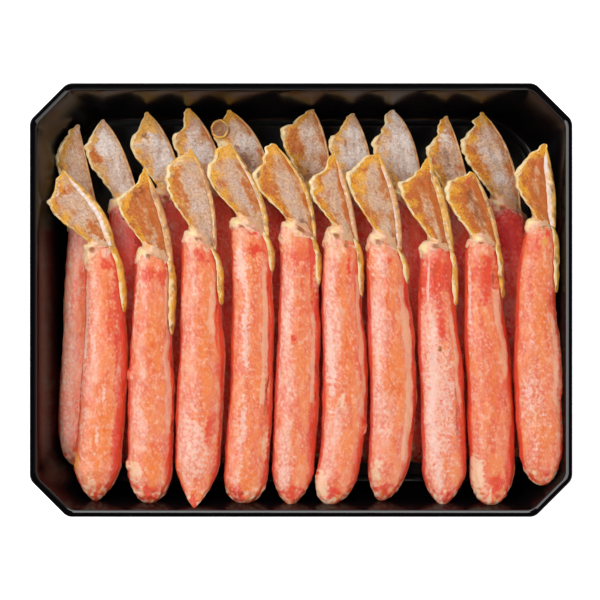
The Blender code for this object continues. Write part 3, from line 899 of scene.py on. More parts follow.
@dataclass(frozen=True)
class Bar:
    """One bar of meat: an outline in plan, and an oval cross section that is lower than wide."""

    joint_left: Point
    joint_right: Point
    stations: Point  # Y of the measured middles and widths
    middles: Point
    widths: Point
    tip: Point  # with how far it turns up as its third number
    z: float
    seed: int
    band: float = 0.0  # length of shell left along the right flank
    patches: tuple[Patch, ...] = ()
    tendon: tuple[float, float, float, float] = (0.68, 0.07, -5.0, -40.0)  # across, half width, first and last Y
    flank_red: float = 0.65  # along the right
    lit_left_pink: float = 0.6  # partly pink ice, partly painted light: the left side made paler where the left light falls
    warm: float = 0.4  # orange along the middle
    # Partly frost, partly painted highlight: the pale streak down the left third where the wet meat mirrors the left
    # light.
    frost_and_highlight_streak: float = 0.3
    columns: int = 96
    rows: int = 190
    flatness: float = 0.8
    tip_round: float = 14.0
    tip_power: tuple[float, float] = (2.0, 0.5)  # 2 and a half round the tip as an ellipse
    head_round: float = 7.0
    squareness: float = 2.25  # power of the oval; 2 is an ellipse
    waviness: float = 0.24  # mm
    beside_band: float = 1.15  # mm by which the bar is narrower beside its band of shell
    head_rows: int = 13
    tip_rows: int = 30
    pattern_step: float = 61.0  # mm from one seed's pattern to the next one's

    def middle(self, y: Array) -> Array:
        """X of the bar's middle: the cubic nearest to the measured middles, joint and tip.

        Args:
            y: Places along the bar in mm.

        Returns:
            X in mm.
        """
        joint = [(a + b) / 2 for a, b in zip(self.joint_left, self.joint_right)]
        curve = np.polyfit((joint[1], *self.stations, self.tip[1]), (joint[0], *self.middles, self.tip[0]), 3)
        return np.polyval(curve, y)

    def half_width(self, y: Array) -> Array:
        """Half the width: the curve through the measured widths, times (1 - t^a)^b over the tip's rounding.

        Args:
            y: Places along the bar in mm.

        Returns:
            Half widths in mm.
        """
        curve = np.polyfit(self.stations, self.widths, len(self.stations) - 1)
        left = np.clip(1 - (y - self.tip[1]) / self.tip_round, 0.0, 1.0)
        return (1 - left ** self.tip_power[0]) ** self.tip_power[1] * np.polyval(curve, y) / 2

    def shares(self) -> Array:
        """Places of the rows, 0 at the joint and 1 at the tip, closer together over the rounded ends."""
        length = (self.joint_left[1] + self.joint_right[1]) / 2 - self.tip[1]
        head = self.head_round * (1 - np.cos(np.linspace(0, math.pi / 2, self.head_rows + 1)[:-1]))
        cap = length - self.tip_round * (1 - np.cos(np.linspace(math.pi / 2, 0.03, self.tip_rows)))
        body = np.linspace(self.head_round, cap[0], self.rows - self.head_rows - self.tip_rows + 1)[:-1]
        return np.concatenate([head, body, cap]) / length

    def chords(self, shares: Array) -> tuple[Array, Array]:
        """Left and right edge in plan at each row: the slanted joint opens into the bar over the head.

        Args:
            shares: Places along the bar, 0 at the joint and 1 at the tip.

        Returns:
            Left points and right points in mm.
        """
        length = self.joint_left[1] - self.tip[1]
        opened = np.minimum(1.0, shares * length / self.head_round)
        rounded = np.sqrt(1 - (1 - opened) ** 2)
        edges = []
        for side, joint in ((-1, self.joint_left), (1, self.joint_right)):
            y = joint[1] + (self.tip[1] - joint[1]) * shares
            x = self.middle(y) + side * self.half_width(y)
            share = rounded
            if side > 0 and self.band:
                x = x - self.beside_band * smooth(joint[1] - self.band - 20.0, joint[1] - self.band - 3.0, y)
                share = opened**2
            edge = np.stack([x, y], axis=-1)
            edges.append(np.array(joint) + (edge - np.array(joint)) * share[:, None])
        return edges[0], edges[1]

    def surface(self) -> Surface:
        """An oval carried along the bar: |x/a|^n + |z/b|^n = 1, with coarse and fine ripples on it."""
        left, right = self.chords(self.shares())
        across, up, outward = oval(self.columns, self.squareness)
        plan = spanned(left, right, (0.5 + 0.5 * across)[None, :])
        half = (right[:, 0] - left[:, 0]) / 2
        lift = self.tip[2] * np.clip(1 - (plan[..., 1] - self.tip[1]) / self.tip_round, 0, 1) ** 2
        height = self.z + lift + half[:, None] * self.flatness * up
        points = raised(plan, height)
        spread = np.broadcast_to(across, plan.shape[:2])
        top = smooth(-0.1, 0.35, up)[None, :]
        relief = self.waviness * ripple(points * (1, 0.5, 1), 13.0, self.seed)
        relief += 0.12 * ripple(points * (1, 0.45, 1), 3.6, self.seed + 50)
        relief += 0.07 * ripple(points * (1, 0.8, 1), 1.9, self.seed + 90)
        relief += 0.22 * ripple(points, 2.6, self.seed + 95) * self.end_place(points)
        relief -= 0.12 * self.tendon_place(spread, points) * top
        relief += sum(patch.lift * patch.strengths(spread, points) for patch in self.patches) * top
        fade = np.minimum(1, half / half.max() * 1.5)[:, None]
        points = points + outward * (relief * fade)[..., None]
        return Surface(points, self.stains(spread, up, points))

    def end_place(self, points: Array) -> Array:
        """1 over the bar's wrinkled last 4 mm, and 0 from 10 mm before its tip."""
        return smooth(self.tip[1] + 10.0, self.tip[1] + 4.0, points[..., 1])

    def tendon_place(self, across: Array, points: Array) -> Array:
        """1 on the flat tendon band that runs down the right third, 0 elsewhere.

        Args:
            across: -1 at the left flank to 1 at the right, at each point.
            points: Places in mm.

        Returns:
            The band's share at each point.
        """
        centre, wide, first, last = self.tendon
        y = points[..., 1]
        breadth = wide * (1 + 0.3 * ripple(points * (0, 1, 0), 9.0, self.seed + 8))
        aside = np.abs(across - centre - self.weave(points)) - breadth
        return smooth(0.08, -0.04, aside) * smooth(first + 3, first - 3, y) * smooth(last - 5, last + 3, y)

    def weave(self, points: Array) -> Array:
        """How far the tendon band strays, on the scale of -1 to 1 across."""
        return 0.05 * ripple(points * (0, 1, 0), 16.0, self.seed + 7)

    def stains(self, across: Array, up: Array, points: Array) -> dict[Tint, Array]:
        """Where each tint lies on the bar.

        Args:
            across: -1 at the left flank to 1 at the right, at each point.
            up: -1 underneath to 1 on top, at each column.
            points: Places in mm.

        Returns:
            The strength of each tint at each point.
        """
        top = smooth(-0.1, 0.35, up)[None, :]
        y = points[..., 1]
        drift = 0.12 * ripple(points * (0, 1, 0), 22.0, self.seed + 3)
        right = smooth(0.5, 0.85, across + drift)
        red = self.flank_red * right + 1.1 * smooth(0.8, 0.95, np.abs(across)) + self.flank_red * (1 - top) * 0.6
        red = red + 0.16 * ripple(points * (1, 0.5, 1), 9.0, self.seed + 13)
        # Painted light: pink on the left half stands partly for pink ice and partly for the paleness where the left
        # light falls.
        pink = self.lit_left_pink * smooth(0.25, -0.5, across + drift) * top
        pink = pink * (0.85 + 0.35 * ripple(points * (1, 0.5, 1), 10.0, self.seed + 17))
        warm = self.warm * smooth(0.75, 0.2, np.abs(across - 0.15 + drift)) * top
        warm = warm * (0.9 + 0.6 * ripple(points * (1, 0.4, 1), 12.0, self.seed + 19))
        centre, wide, first, last = self.tendon
        aside = across - centre - self.weave(points) - wide - 0.1
        beside = np.abs(aside - 0.02 * ripple(points, 9.0, self.seed + 4))
        near = smooth(first + 3, first - 3, y) * smooth(last - 8, last, y)
        line = smooth(0.07, 0.01, beside) * near * top
        deep = line * (0.3 + 0.4 * ripple(points * (0, 1, 0), 7.0, self.seed + 5))
        end = self.end_place(points) * top
        red = red + line + end * (0.15 + 0.7 * ripple(points, 3.2, self.seed + 23))
        # Painted highlight: a pale streak down the left third, where the wet meat mirrors the left light, laid on as
        # frost.
        lit = bell(across + 0.4 + drift, 0.16) * top
        frost = self.frost_and_highlight_streak * lit * (0.6 + 0.5 * ripple(points * (0.3, 1, 0), 14.0, self.seed + 11))
        # Painted sheen: a pale tan line along the right outline, where the flank turns away at a grazing angle, laid
        # on as tendon colour.
        edge = smooth(0.94, 0.985, across) * smooth(-0.3, 0.0, up)[None, :]
        warm = warm + end * (0.3 + 0.8 * ripple(points, 4.0, self.seed + 29))
        cream = end * (0.7 * ripple(points, 3.0, self.seed + 31) + 0.7 * smooth(0.75, 0.95, np.abs(across)))
        fields = dict.fromkeys(Tint, np.zeros_like(red)) | {
            Tint.RED: red, Tint.DEEP: deep, Tint.FROST: frost, Tint.CREAM: cream, Tint.AMBER: warm, Tint.PINK: pink,
            Tint.TENDON: self.tendon_place(across, points) * top + 0.7 * edge}
        return stained(fields, self.patches, across, points, top)

    def build(self, name: str, finish: Finish, slot: Slot, node: str) -> None:
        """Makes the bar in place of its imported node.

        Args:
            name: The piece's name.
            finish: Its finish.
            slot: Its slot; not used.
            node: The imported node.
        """
        put(name, [self.surface()], finish, (node,), offset=self.seed * self.pattern_step)


# The shells at the joints


@dataclass(frozen=True)
class Rows:
    """The rows of a handle: shares along it, left and right points in plan, widths, and rim heights."""

    share: Array
    left: Array
    right: Array
    width: Array
    rim: Array

    def place(self, aside: Array, height: Array) -> Array:
        """Turns distances from the left edge and heights over the rim into points.

        Args:
            aside: Distance from the left edge in mm, for each row and column.
            height: Height over the rim in mm, likewise.

        Returns:
            Points in mm.
        """
        return raised(spanned(self.left, self.right, aside / self.width[:, None]), self.rim[:, None] + height)


@dataclass(frozen=True)
class Handle:
    """The spearhead of shell beyond a joint, cut open along its upper side, with its flesh."""

    joint_left: Point
    joint_right: Point
    corner: Point
    cut: tuple[Point, ...]  # places along the ragged cut end, from the corner to the point
    point: Point
    side: Point
    z: float  # height of the rim at the joint
    rise: float
    seed: int
    flank: float = 2.0  # width of the shell's outside that shows on the right, in mm
    flank_pink: float = 0.0
    stripe: float = 0.7  # how clearly the pale lining shows inside the right rim
    amber: float = 0.4
    frost: float = 0.2
    gold: float = 0.7  # at the point
    cream: float = 0.7  # along the left rim
    lump: float = 1.0  # size of the cut end's thick corner
    patches: tuple[Patch, ...] = ()
    bulge: float = 1.6
    body_end: float = 0.955  # where the rounded tip starts
    depth: float = 5.6
    body_rows: int = 84
    columns: int = 52
    rim_width: float = 1.3
    corner_reach: float = 0.06  # share of the length over which the thick corner fades
    pattern_step: float = 47.0  # mm from one seed's pattern to the next one's

    def turn(self) -> float:
        """Share of the length at which the left edge has its corner."""
        chain = (self.corner, *self.cut, self.point)
        first = math.dist(self.joint_left, self.corner)
        return first / (first + sum(math.dist(a, b) for a, b in zip(chain, chain[1:])))

    def left_edge(self, s: Array) -> Array:
        """From the joint out to the corner in a shallow bow, then along the cut end to the point.

        Args:
            s: Shares along the handle.

        Returns:
            Points in plan, in mm.
        """
        start, corner, turn = np.array(self.joint_left), np.array(self.corner), self.turn()
        t = np.clip(s / turn, 0, 1)
        along = corner - start
        outward = np.array((-along[1], along[0])) / np.linalg.norm(along)
        bow = between(start, corner, t) + outward * (self.bulge * 6.75 * t**2 * (1 - t))[:, None]
        chain = along_chain([self.corner, *self.cut, self.point], (s - turn) / (1 - turn))
        return softened(np.where((s < turn)[:, None], bow, chain), 3)

    def right_edge(self, s: Array) -> Array:
        """The parabola through the joint's right corner, the side point and the far point.

        Args:
            s: Shares along the handle.

        Returns:
            Points in plan, in mm.
        """
        shape = (2 * (s - 0.5) * (s - 1), 4 * s * (1 - s), 2 * s * (s - 0.5))
        ends = (np.array(self.joint_right), np.array(self.side), np.array(self.point))
        return sum(w[:, None] * p for w, p in zip(shape, ends))

    def rows(self) -> Rows:
        """The body's rows, ragged along the left, and the rows of the rounded tip.

        The tip's half width shrinks as the cosine, and its rows move on as the sine, of an angle from 0 to 90.
        """
        s = np.linspace(0.0, self.body_end, self.body_rows)
        left, right = self.left_edge(s), self.right_edge(s)
        wave = 0.22 * ripple(np.pad(left, ((0, 0), (0, 1))), 3.2, self.seed + 2) * smooth(0.0, 0.15, s)
        wave = wave * (1 + smooth(self.turn() - 0.1, self.turn(), s))
        left = left + wave[:, None] * (left - right) / np.linalg.norm(left - right, axis=-1, keepdims=True)
        middle, half = (left[-1] + right[-1]) / 2, (right[-1] - left[-1]) / 2
        angle = np.linspace(0, math.pi / 2 * 0.97, 8)[1:, None]
        ahead = middle + (np.array(self.point) - middle) * np.sin(angle)
        left = np.vstack([left, ahead - half * np.cos(angle)])
        right = np.vstack([right, ahead + half * np.cos(angle)])
        s = np.concatenate([s, self.body_end + (1 - self.body_end) * np.sin(angle[:, 0])])
        joint = (np.array(self.joint_left) + np.array(self.joint_right)) / 2
        rim = self.z + self.rise * np.linalg.norm((left + right) / 2 - joint, axis=-1)
        return Rows(s, left, right, np.linalg.norm(right - left, axis=-1), rim)

    def rims(self, rows: Rows) -> tuple[Array, Array, Array, Array]:
        """Sizes across the rims.

        Args:
            rows: The handle's rows.

        Returns:
            For each row, in mm: the left rim, the right flank and the lining; and the scale for narrow rows.
        """
        s, turn = rows.share, self.turn()
        scale = np.clip(rows.width / 12.0, 0.02, 1.0)
        end = 0.5 * smooth(turn - 0.05, turn + 0.1, s)
        corner = self.lump * 1.9 * bell(s - turn, self.corner_reach)
        uneven = 0.25 * ripple(np.pad(rows.left, ((0, 0), (0, 1))), 4.0, self.seed + 3)
        left = (self.rim_width + end + corner + uneven) * scale
        grown = smooth(0.0, 0.12, s)
        return left, self.flank * (0.7 + 0.3 * grown) * scale, (0.35 + 1.2 * self.stripe**2) * scale, scale

    def shell(self) -> Surface:
        """A trough with a thin wall.

        Outside, half an oval hangs below the outline, and the right flank rises from it to a flat pale
        lining. Inside, a shallower half oval joins the lining to the left rim.
        """
        rows = self.rows()
        rim_left, flank, lining, scale = (size[:, None] for size in self.rims(rows))
        w = rows.width[:, None]
        turn = np.linspace(0, math.pi, self.columns - 18)
        low_left, low_right = -0.9 * scale, -1.1 * flank
        under_d = w / 2 * (1 - np.cos(turn))
        under_h = low_left + (low_right - low_left) * under_d / w - np.minimum(self.depth, 0.36 * w) * np.sin(turn)
        crest = np.linspace(0, math.pi / 2, 9)
        left_d, left_h = rim_left * 0.55 * (1 - np.sin(crest)), low_left * (1 - np.cos(crest))
        right_d, right_h = w - flank * (1 - np.cos(crest)), low_right + (0.15 * scale - low_right) * np.sin(crest)
        outer_d = np.concatenate([left_d, under_d[:, 1:], right_d[:, 1:], right_d[:, -1:] - 0.05 * scale], axis=1)
        outer_h = np.concatenate([left_h, under_h[:, 1:], right_h[:, 1:], right_h[:, -1:] + 0.02 * scale], axis=1)
        fall = np.linspace(0, 1, outer_d.shape[1])
        edge_right = w - flank - lining
        inner_d = edge_right + (rim_left - edge_right) * fall
        inner_h = 0.1 * scale * (1 - fall) - np.minimum(2.6, 0.2 * w) * np.sin(math.pi * fall) ** 0.6
        aside = np.concatenate([outer_d, inner_d], axis=1)
        points = rows.place(aside, np.concatenate([outer_h, inner_h], axis=1))
        corner = bell(rows.share - self.turn(), self.corner_reach)[:, None] * smooth(4.0, 1.0, aside)
        rough = 0.2 * ripple(points, 3.0, self.seed + 20) + 0.12 * ripple(points, 1.6, self.seed + 21)
        lift = scale * rough + 0.7 * self.lump * corner
        return Surface(points + lift[..., None] * (0, 0, 1), self.shell_stains(rows, aside, points), EndFace.STRIP)

    def shell_stains(self, rows: Rows, aside: Array, points: Array) -> dict[Tint, Array]:
        """Cream along the left rim and the corner, the pale lining on the right crest, gold at the point.

        Args:
            rows: The handle's rows.
            aside: Distance from the left edge at each point, in mm.
            points: Places in mm.

        Returns:
            The strength of each tint at each point.
        """
        _, flank, lining, _ = (size[:, None] for size in self.rims(rows))
        s = rows.share[:, None]
        from_right = rows.width[:, None] - aside
        inside = smooth(flank - 0.2, flank + 0.2, from_right)
        lined = self.stripe * inside * smooth(flank + lining + 0.6, flank + lining, from_right) * smooth(0.95, 0.8, s)
        lined = lined * (0.85 + 0.3 * ripple(points, 9.0, self.seed + 8))
        patchy = 0.6 + 0.7 * ripple(points * (1, 1, 0), 5.0, self.seed + 9)
        corner = bell(s - self.turn(), 0.09)
        left = smooth(2.2, 0.8, aside)
        # Partly painted highlight: a cream streak along the right flank's rounded crest, partly the shell's own cream.
        crest = smooth(0.25, 0.0, np.abs(from_right / flank - 0.85)) * (1 - lined)
        return {Tint.PEARL: lined,
                Tint.CREAM: left * (self.cream * (0.5 + 0.7 * patchy) + 0.5 * corner) + 0.8 * crest * patchy,
                Tint.GOLD: self.gold * smooth(0.72, 0.9, s) * np.ones_like(aside) + 0.5 * left * (1.2 - patchy),
                Tint.RED: self.flank_pink * (1 - left) * np.ones_like(aside),
                Tint.DEEP: (0.12 + 0.6 * ripple(points, 5.0, self.seed + 5)) * (1 - lined) * (1 - 0.7 * left)}

    def flesh(self) -> Surface:
        """A lens between the rims: domed and folded above, half an oval below."""
        rows = self.rows()
        rim_left, flank, lining, scale = (size[:, None] for size in self.rims(rows))
        start, stop = rim_left * 0.75, rows.width[:, None] - flank - lining - 0.1 * scale
        over, under = np.linspace(0, 1, self.columns), np.linspace(1, 0, self.columns // 2)[1:-1]
        shares = np.concatenate([over, under])
        aside = start + (stop - start) * shares
        sine = np.sin(math.pi * shares)
        height = np.where(np.arange(len(shares)) < len(over), -0.1 + 0.7 * sine**0.8, -0.1 - 1.4 * sine) * scale
        corner = bell(rows.share - self.turn(), self.corner_reach)[:, None] * smooth(5.0, 1.0, aside)
        points = rows.place(aside, height + 0.6 * self.lump * corner * (np.arange(len(shares)) < len(over)))
        heading = np.array(self.point) - (np.array(self.joint_left) + np.array(self.joint_right)) / 2
        heading = heading / np.linalg.norm(heading)
        crossways = points[..., :2] @ np.array((heading[1], -heading[0]))
        folded = np.stack([crossways, points[..., :2] @ heading * 0.25, np.zeros_like(crossways)], axis=-1)
        relief = 0.26 * ripple(folded, 3.2, self.seed + 30) + 0.12 * ripple(points, 2.0, self.seed + 40)
        points = points + (0, 0, 1) * (relief * scale * sine**0.5)[..., None]
        return Surface(points, self.flesh_stains(rows.share, np.broadcast_to(shares, relief.shape) * 2 - 1, points))

    def flesh_stains(self, s: Array, across: Array, points: Array) -> dict[Tint, Array]:
        """Gold then amber inwards from the left edge, gold at the point, frost over the middle, brown at the joint.

        Args:
            s: Shares along the handle, for each row.
            across: -1 at the left rim to 1 at the right, at each point.
            points: Places in mm.

        Returns:
            The strength of each tint at each point.
        """
        left = smooth(0.1, -0.9, across)
        right = smooth(0.4, 0.95, across)
        far = smooth(0.55, 0.95, s)[:, None]
        amber = self.amber * (0.35 + 0.7 * left + 0.5 * right + 0.5 * far) + 0.15 * left + 0.1 * right
        amber = amber + 0.2 * ripple(points, 9.0, self.seed + 60)
        frost = self.frost * (1.1 - 0.5 * left - 0.4 * right - 0.5 * far + 0.5 * ripple(points, 7.0, self.seed + 70))
        # Brown where the flesh ends at the joint: partly the cartilage's colour, partly painted shade.
        near_joint = smooth(0.2, 0.04, s)[:, None] * smooth(-0.3, 0.4, across)
        blank = np.zeros_like(amber)
        edge = 0.5 * smooth(0.1, -0.8, across) + 0.4 * smooth(-0.7, -0.95, across)
        edge = edge * (1 + 0.7 * ripple(points, 4.5, self.seed + 80))
        fields = {Tint.AMBER: amber, Tint.FROST: frost, Tint.DEEP: 0.4 * near_joint, Tint.RED: blank,
                  Tint.GOLD: self.gold * smooth(0.7, 0.95, s)[:, None] + edge,
                  Tint.CREAM: 0.3 * self.cream * smooth(-0.85, -0.97, across)}
        return stained(fields, self.patches, across, points)

    def build(self, name: str, nodes: tuple[str, ...]) -> None:
        """Makes shell and flesh.

        Args:
            name: The start of the pieces' names.
            nodes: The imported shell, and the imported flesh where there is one.
        """
        offset = self.seed * self.pattern_step
        put(f"{name}_shell", [self.shell()], SHELL, nodes[:1], offset)
        put(f"{name}_flesh", [self.flesh()], FLESH, nodes[1:], offset)


@dataclass(frozen=True)
class Sleeve:
    """The tough skin round a joint, from the handle's root to a ragged border on the bar's head.

    Places on it are given by how far across they are, -1 at the left flank to 1 at the right, and by their
    distance from the joint in mm, which is negative towards the handle.
    """

    bar: Bar
    handle: Handle
    seed: int
    knuckle: Point = (-0.55, 1.2)
    pit: Point = (-0.3, 2.8)
    notch: Point = (0.4, 1.8)
    shoulder: Point = (-1.0, 6.0)
    drape: Point = (6.0, 4.0)  # how far it reaches down the bar at the left and at the right
    reach: float = 6.0  # how far it reaches under the handle's flesh
    knuckle_radius: float = 1.8
    pit_radius: Point = (1.15, 1.9)  # of the pit, and of the lip round it
    shoulder_radius: float = 3.2
    notch_size: Point = (2.8, 0.8)  # across and along
    pattern_step: float = 29.0  # mm from one seed's pattern to the next one's
    rows: int = 76
    columns: int = 96

    def edges(self, down: Array) -> tuple[Array, Array]:
        """Left and right edge in plan at each row: the handle's, drawn in, before the joint, and the bar's after.

        Args:
            down: Distance of each row from the joint.

        Returns:
            Left points and right points in mm.
        """
        bar, handle = self.bar, self.handle
        left, right = bar.chords(np.maximum(down, 0.0) / (bar.joint_left[1] - bar.tip[1]))
        ahead = np.maximum(-down, 0.0)
        root_left = handle.left_edge(ahead * handle.turn() / math.dist(handle.joint_left, handle.corner))
        span = math.dist(handle.joint_right, handle.side) + math.dist(handle.side, handle.point)
        root_right = handle.right_edge(ahead / span)
        way = (root_right - root_left) / np.linalg.norm(root_right - root_left, axis=-1, keepdims=True)
        grown = smooth(0.0, self.reach, ahead)[:, None]
        start = math.dist(bar.joint_right, handle.joint_right)
        root_left = root_left + way * grown * 0.9
        root_right = root_right - way * (start + (handle.flank + 0.5 - start) * grown)
        after = (down >= 0)[:, None]
        return np.where(after, left, root_left), np.where(after, right, root_right)

    def leftness(self, across: Array) -> Array:
        """1 over the left flank and 0 over the right half."""
        return smooth(0.1, -0.75, across)

    def border(self, across: Array) -> Array:
        """How far down the bar the sleeve reaches, in mm, before its border is made uneven."""
        return self.drape[1] + (self.drape[0] - self.drape[1]) * self.leftness(across)

    def surface(self) -> Surface:
        """The bar's oval, swollen at the joint and flattened to a lens under the flesh.

        Past its border it dips below the bar. Each bump is a bell, exp(-(d / r)^2), of its distance d.
        """
        bar, handle = self.bar, self.handle
        down = np.linspace(-self.reach, max(self.drape) + 4.0, self.rows)
        left, right = self.edges(down)
        across, up, outward = oval(self.columns, bar.squareness)
        half = (right[:, 0] - left[:, 0])[:, None] / 2
        plan = spanned(left, right, (0.5 + 0.5 * across)[None, :])
        flat = smooth(0.0, self.reach, -down)[:, None]
        middle = bar.z + (handle.z - 0.6 - bar.z) * flat
        tall = half * bar.flatness + (np.where(up > 0, 0.85, 1.3) - half * bar.flatness) * flat
        points = raised(plan, middle + tall * up)
        spread = np.broadcast_to(across, plan.shape[:2])
        far = np.broadcast_to(down[:, None], spread.shape)
        border = self.border(spread) + 1.1 * ripple(points, 4.0, self.seed)
        cover = smooth(border + 2.0, border - 2.0, far)

        def mound(place: Point, radius: float) -> Array:
            """A bell round a place."""
            return np.exp(-(((spread - place[0]) * half) ** 2 + (far - place[1]) ** 2) / radius**2)

        wide, long = self.notch_size
        fold = np.exp(-((((spread - self.notch[0]) * half) / wide) ** 2 + ((far - self.notch[1]) / long) ** 2))
        pit, lip = (mound(self.pit, radius) for radius in self.pit_radius)
        bells = {"knuckle": mound(self.knuckle, self.knuckle_radius), "pit": pit, "notch": fold,
                 "shoulder": mound(self.shoulder, self.shoulder_radius)}
        bumps = 0.9 * bells["knuckle"] + 0.5 * bells["shoulder"] + 0.5 * lip - 0.6 * pit
        bumps = bumps - 0.5 * fold + 0.16 * ripple(points * (1, 0.8, 1), 2.8, self.seed + 2)
        bumps = bumps + 0.1 * ripple(points, 1.4, self.seed + 3)
        bumps = bumps * smooth(-0.6, 0.0, up) * (1 - flat)
        thick = (0.15 + 0.4 * bell(down, 2.4))[:, None] * (1 - flat)
        offset = (thick + bumps + 0.5) * cover - 0.5
        points = points + outward * offset[..., None]
        return Surface(points, self.stains(spread, up, points, cover, far - border, bells))

    def stains(self, across: Array, up: Array, points: Array, cover: Array, past: Array,
               bells: dict[str, Array]) -> dict[Tint, Array]:
        """Pearl on the knuckle, cream down the left, gold towards the handle, brown in pit and notch, a red border.

        Args:
            across: -1 at the left flank to 1 at the right, at each point.
            up: -1 underneath to 1 on top, at each column.
            points: Places in mm.
            cover: 1 where the skin lies on the bar, 0 where it has ended.
            past: Distance beyond the border in mm.
            bells: The share of each bump at each point.

        Returns:
            The strength of each tint at each point; past the border, the bar's own.
        """
        plain = (1 - 0.8 * bells["notch"]) * (1 - bells["pit"])
        cloud = ripple(points, 2.6, self.seed + 5)
        down = past + self.drape[1] + (self.drape[0] - self.drape[1]) * self.leftness(across)
        fade = smooth(1.0, -self.drape[1] - 1.0, past)
        glass = cover * smooth(-0.6, 0.1, across + 0.15 * cloud) * smooth(2.0, -1.5, down - self.notch[1])
        root = smooth(1.0, -2.0, down)
        fields = {tint: old * (1 - cover) for tint, old in self.bar.stains(across, up, points).items()}
        fields[Tint.PINK] = fields[Tint.PINK] + 0.85 * cover
        fields[Tint.CREAM] = fields[Tint.CREAM] + cover * plain * (1 - glass) * (1.15 * fade + 0.35 * cloud)
        fields[Tint.PEARL] = cover * (0.8 * bells["knuckle"] + 0.4 * bells["shoulder"]) * plain
        fields[Tint.GOLD] = cover * (root + 0.3) * (0.9 + 0.5 * cloud) * plain * (1 - bells["knuckle"]) * (1 - glass)
        fields[Tint.GLASS] = glass * plain * (1 - bells["knuckle"])
        # Brown in the pit and the notch: partly their own colour, partly painted shade in these hollows.
        fields[Tint.PIT] = cover * (1.1 * bells["pit"] + 0.6 * bells["notch"])
        rim = bell(past, 1.1) * smooth(-0.9, -0.3, across)
        fields[Tint.RED] = fields[Tint.RED] + rim * (0.3 + 0.6 * ripple(points, 3.5, self.seed + 6))
        return fields

    def build(self, name: str, finish: Finish, slot: Slot) -> None:
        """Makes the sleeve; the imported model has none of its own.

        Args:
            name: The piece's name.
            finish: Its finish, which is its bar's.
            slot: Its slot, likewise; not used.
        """
        put(name, [self.surface()], finish, (), self.seed * self.pattern_step)


@dataclass(frozen=True)
class Band:
    """The strip of shell left along an upper bar's right flank, with a cream edge inside."""

    bar: Bar
    seed: int
    thick: float = 1.4
    rows: int = 60
    low: float = -6.0  # its edges on the bar, in degrees up from the flank
    high: float = 42.0
    pattern_step: float = 31.0  # mm from one seed's pattern to the next one's

    def surface(self) -> Surface:
        """A flat band that follows the bar's flank and narrows to its end."""
        bar = self.bar
        length = bar.joint_left[1] - bar.tip[1]
        share = np.linspace(-0.012, bar.band / length, self.rows)
        left, right = bar.chords(np.maximum(share, 0.0))
        shift = np.minimum(share, 0.0) * length
        half = (right[:, 0] - left[:, 0])[:, None] / 2
        t = np.linspace(0, 1, self.rows)[:, None]
        middle = math.radians((self.low + self.high) / 2)
        spread = math.radians((self.high - self.low) / 2) * np.sqrt(1 - 0.97 * t**7)
        turn = np.linspace(0, 2 * math.pi, 20, endpoint=False)[None, :]
        thick = self.thick * np.sqrt(1 - 0.9 * t**5) / 2
        angle = middle + spread * np.cos(turn)
        out = GAP * 0.3 + thick * (1 + np.sin(turn))
        plan = spanned(left, right, 0.5 + 0.5 * (half + out) * np.cos(angle) / half)
        plan[..., 1] -= shift[:, None]
        height = bar.z + (half * bar.flatness + out) * np.sin(angle)
        points = raised(plan, height)
        points = points + 0.16 * ripple(points, 4.0, self.seed)[..., None] * (1, 0, 0.5)
        patchy = 0.7 + 0.5 * ripple(points, 5.0, self.seed + 3)
        inner = smooth(0.1, -0.5, np.sin(turn)) + smooth(0.35, 0.9, np.cos(turn)) * patchy
        return Surface(points, {Tint.CREAM: inner, Tint.GOLD: 0.5 + 0.5 * ripple(points, 7.0, self.seed + 4),
                                Tint.DEEP: 0.1 + 0.4 * ripple(points, 6.0, self.seed + 2)})

    def build(self, name: str) -> None:
        """Makes the band, which the shell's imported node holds.

        Args:
            name: The piece's name.
        """
        put(name, [self.surface()], SHELL, (), self.seed * self.pattern_step)


@dataclass(frozen=True)
class Socket:
    """The round leg socket beside the fifth lower shell: an orange ring round a brown hollow."""

    place: Point = (-32.2, 67.7, 12.9)
    radius: float = 3.5
    tilt: float = 5.0  # degrees, towards the left
    stretch: float = 1.08  # along Y
    hollow_from: int = 7  # the first point of the profile that lies in the hollow
    seed: int = 5
    shift: float = 900.0  # of its pattern, in mm
    columns: int = 48

    def surface(self) -> Surface:
        """A ring's profile, radius and height, carried round its tilted axis."""
        profile = np.array([(0.05, -4.0), (0.5, -3.8), (0.9, -2.4), (1.04, -0.6), (1.02, 0.2), (0.94, 0.55),
                            (0.84, 0.55), (0.76, 0.4), (0.7, 0.2), (0.55, 0.08), (0.3, 0.0), (0.05, 0.0)])
        turn = np.linspace(0, 2 * math.pi, self.columns, endpoint=False)[None, :]
        radius = (profile[:, :1] * self.radius) * np.ones_like(turn)
        local = np.stack([radius * np.cos(turn), radius * np.sin(turn) * self.stretch,
                          profile[:, 1:] * np.ones_like(turn)], axis=-1)
        lean = math.radians(self.tilt)
        tilted = np.stack([local[..., 0] * math.cos(lean) - local[..., 2] * math.sin(lean), local[..., 1],
                           local[..., 0] * math.sin(lean) + local[..., 2] * math.cos(lean)], axis=-1)
        points = tilted + np.array(self.place)
        points = points + 0.1 * ripple(points, 3.0, self.seed)[..., None]
        # The hollow's brown is partly its own colour, partly painted shade in the hollow.
        hollow = (np.arange(len(profile)) >= self.hollow_from)[:, None] * np.ones_like(turn)
        golden = (1 - hollow) * (0.4 + 0.9 * ripple(points, 4.0, self.seed + 1))
        return Surface(points, {Tint.DEEP: hollow * 1.6 + 0.7 * (1 - golden), Tint.GOLD: golden})

    def build(self) -> None:
        """Makes the socket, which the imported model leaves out."""
        put("lower_05_socket", [self.surface()], SHELL, (), self.shift)


# The portions


class Layer(Enum):
    """Which layer a portion lies in."""

    UPPER = "upper"
    LOWER = "lower"


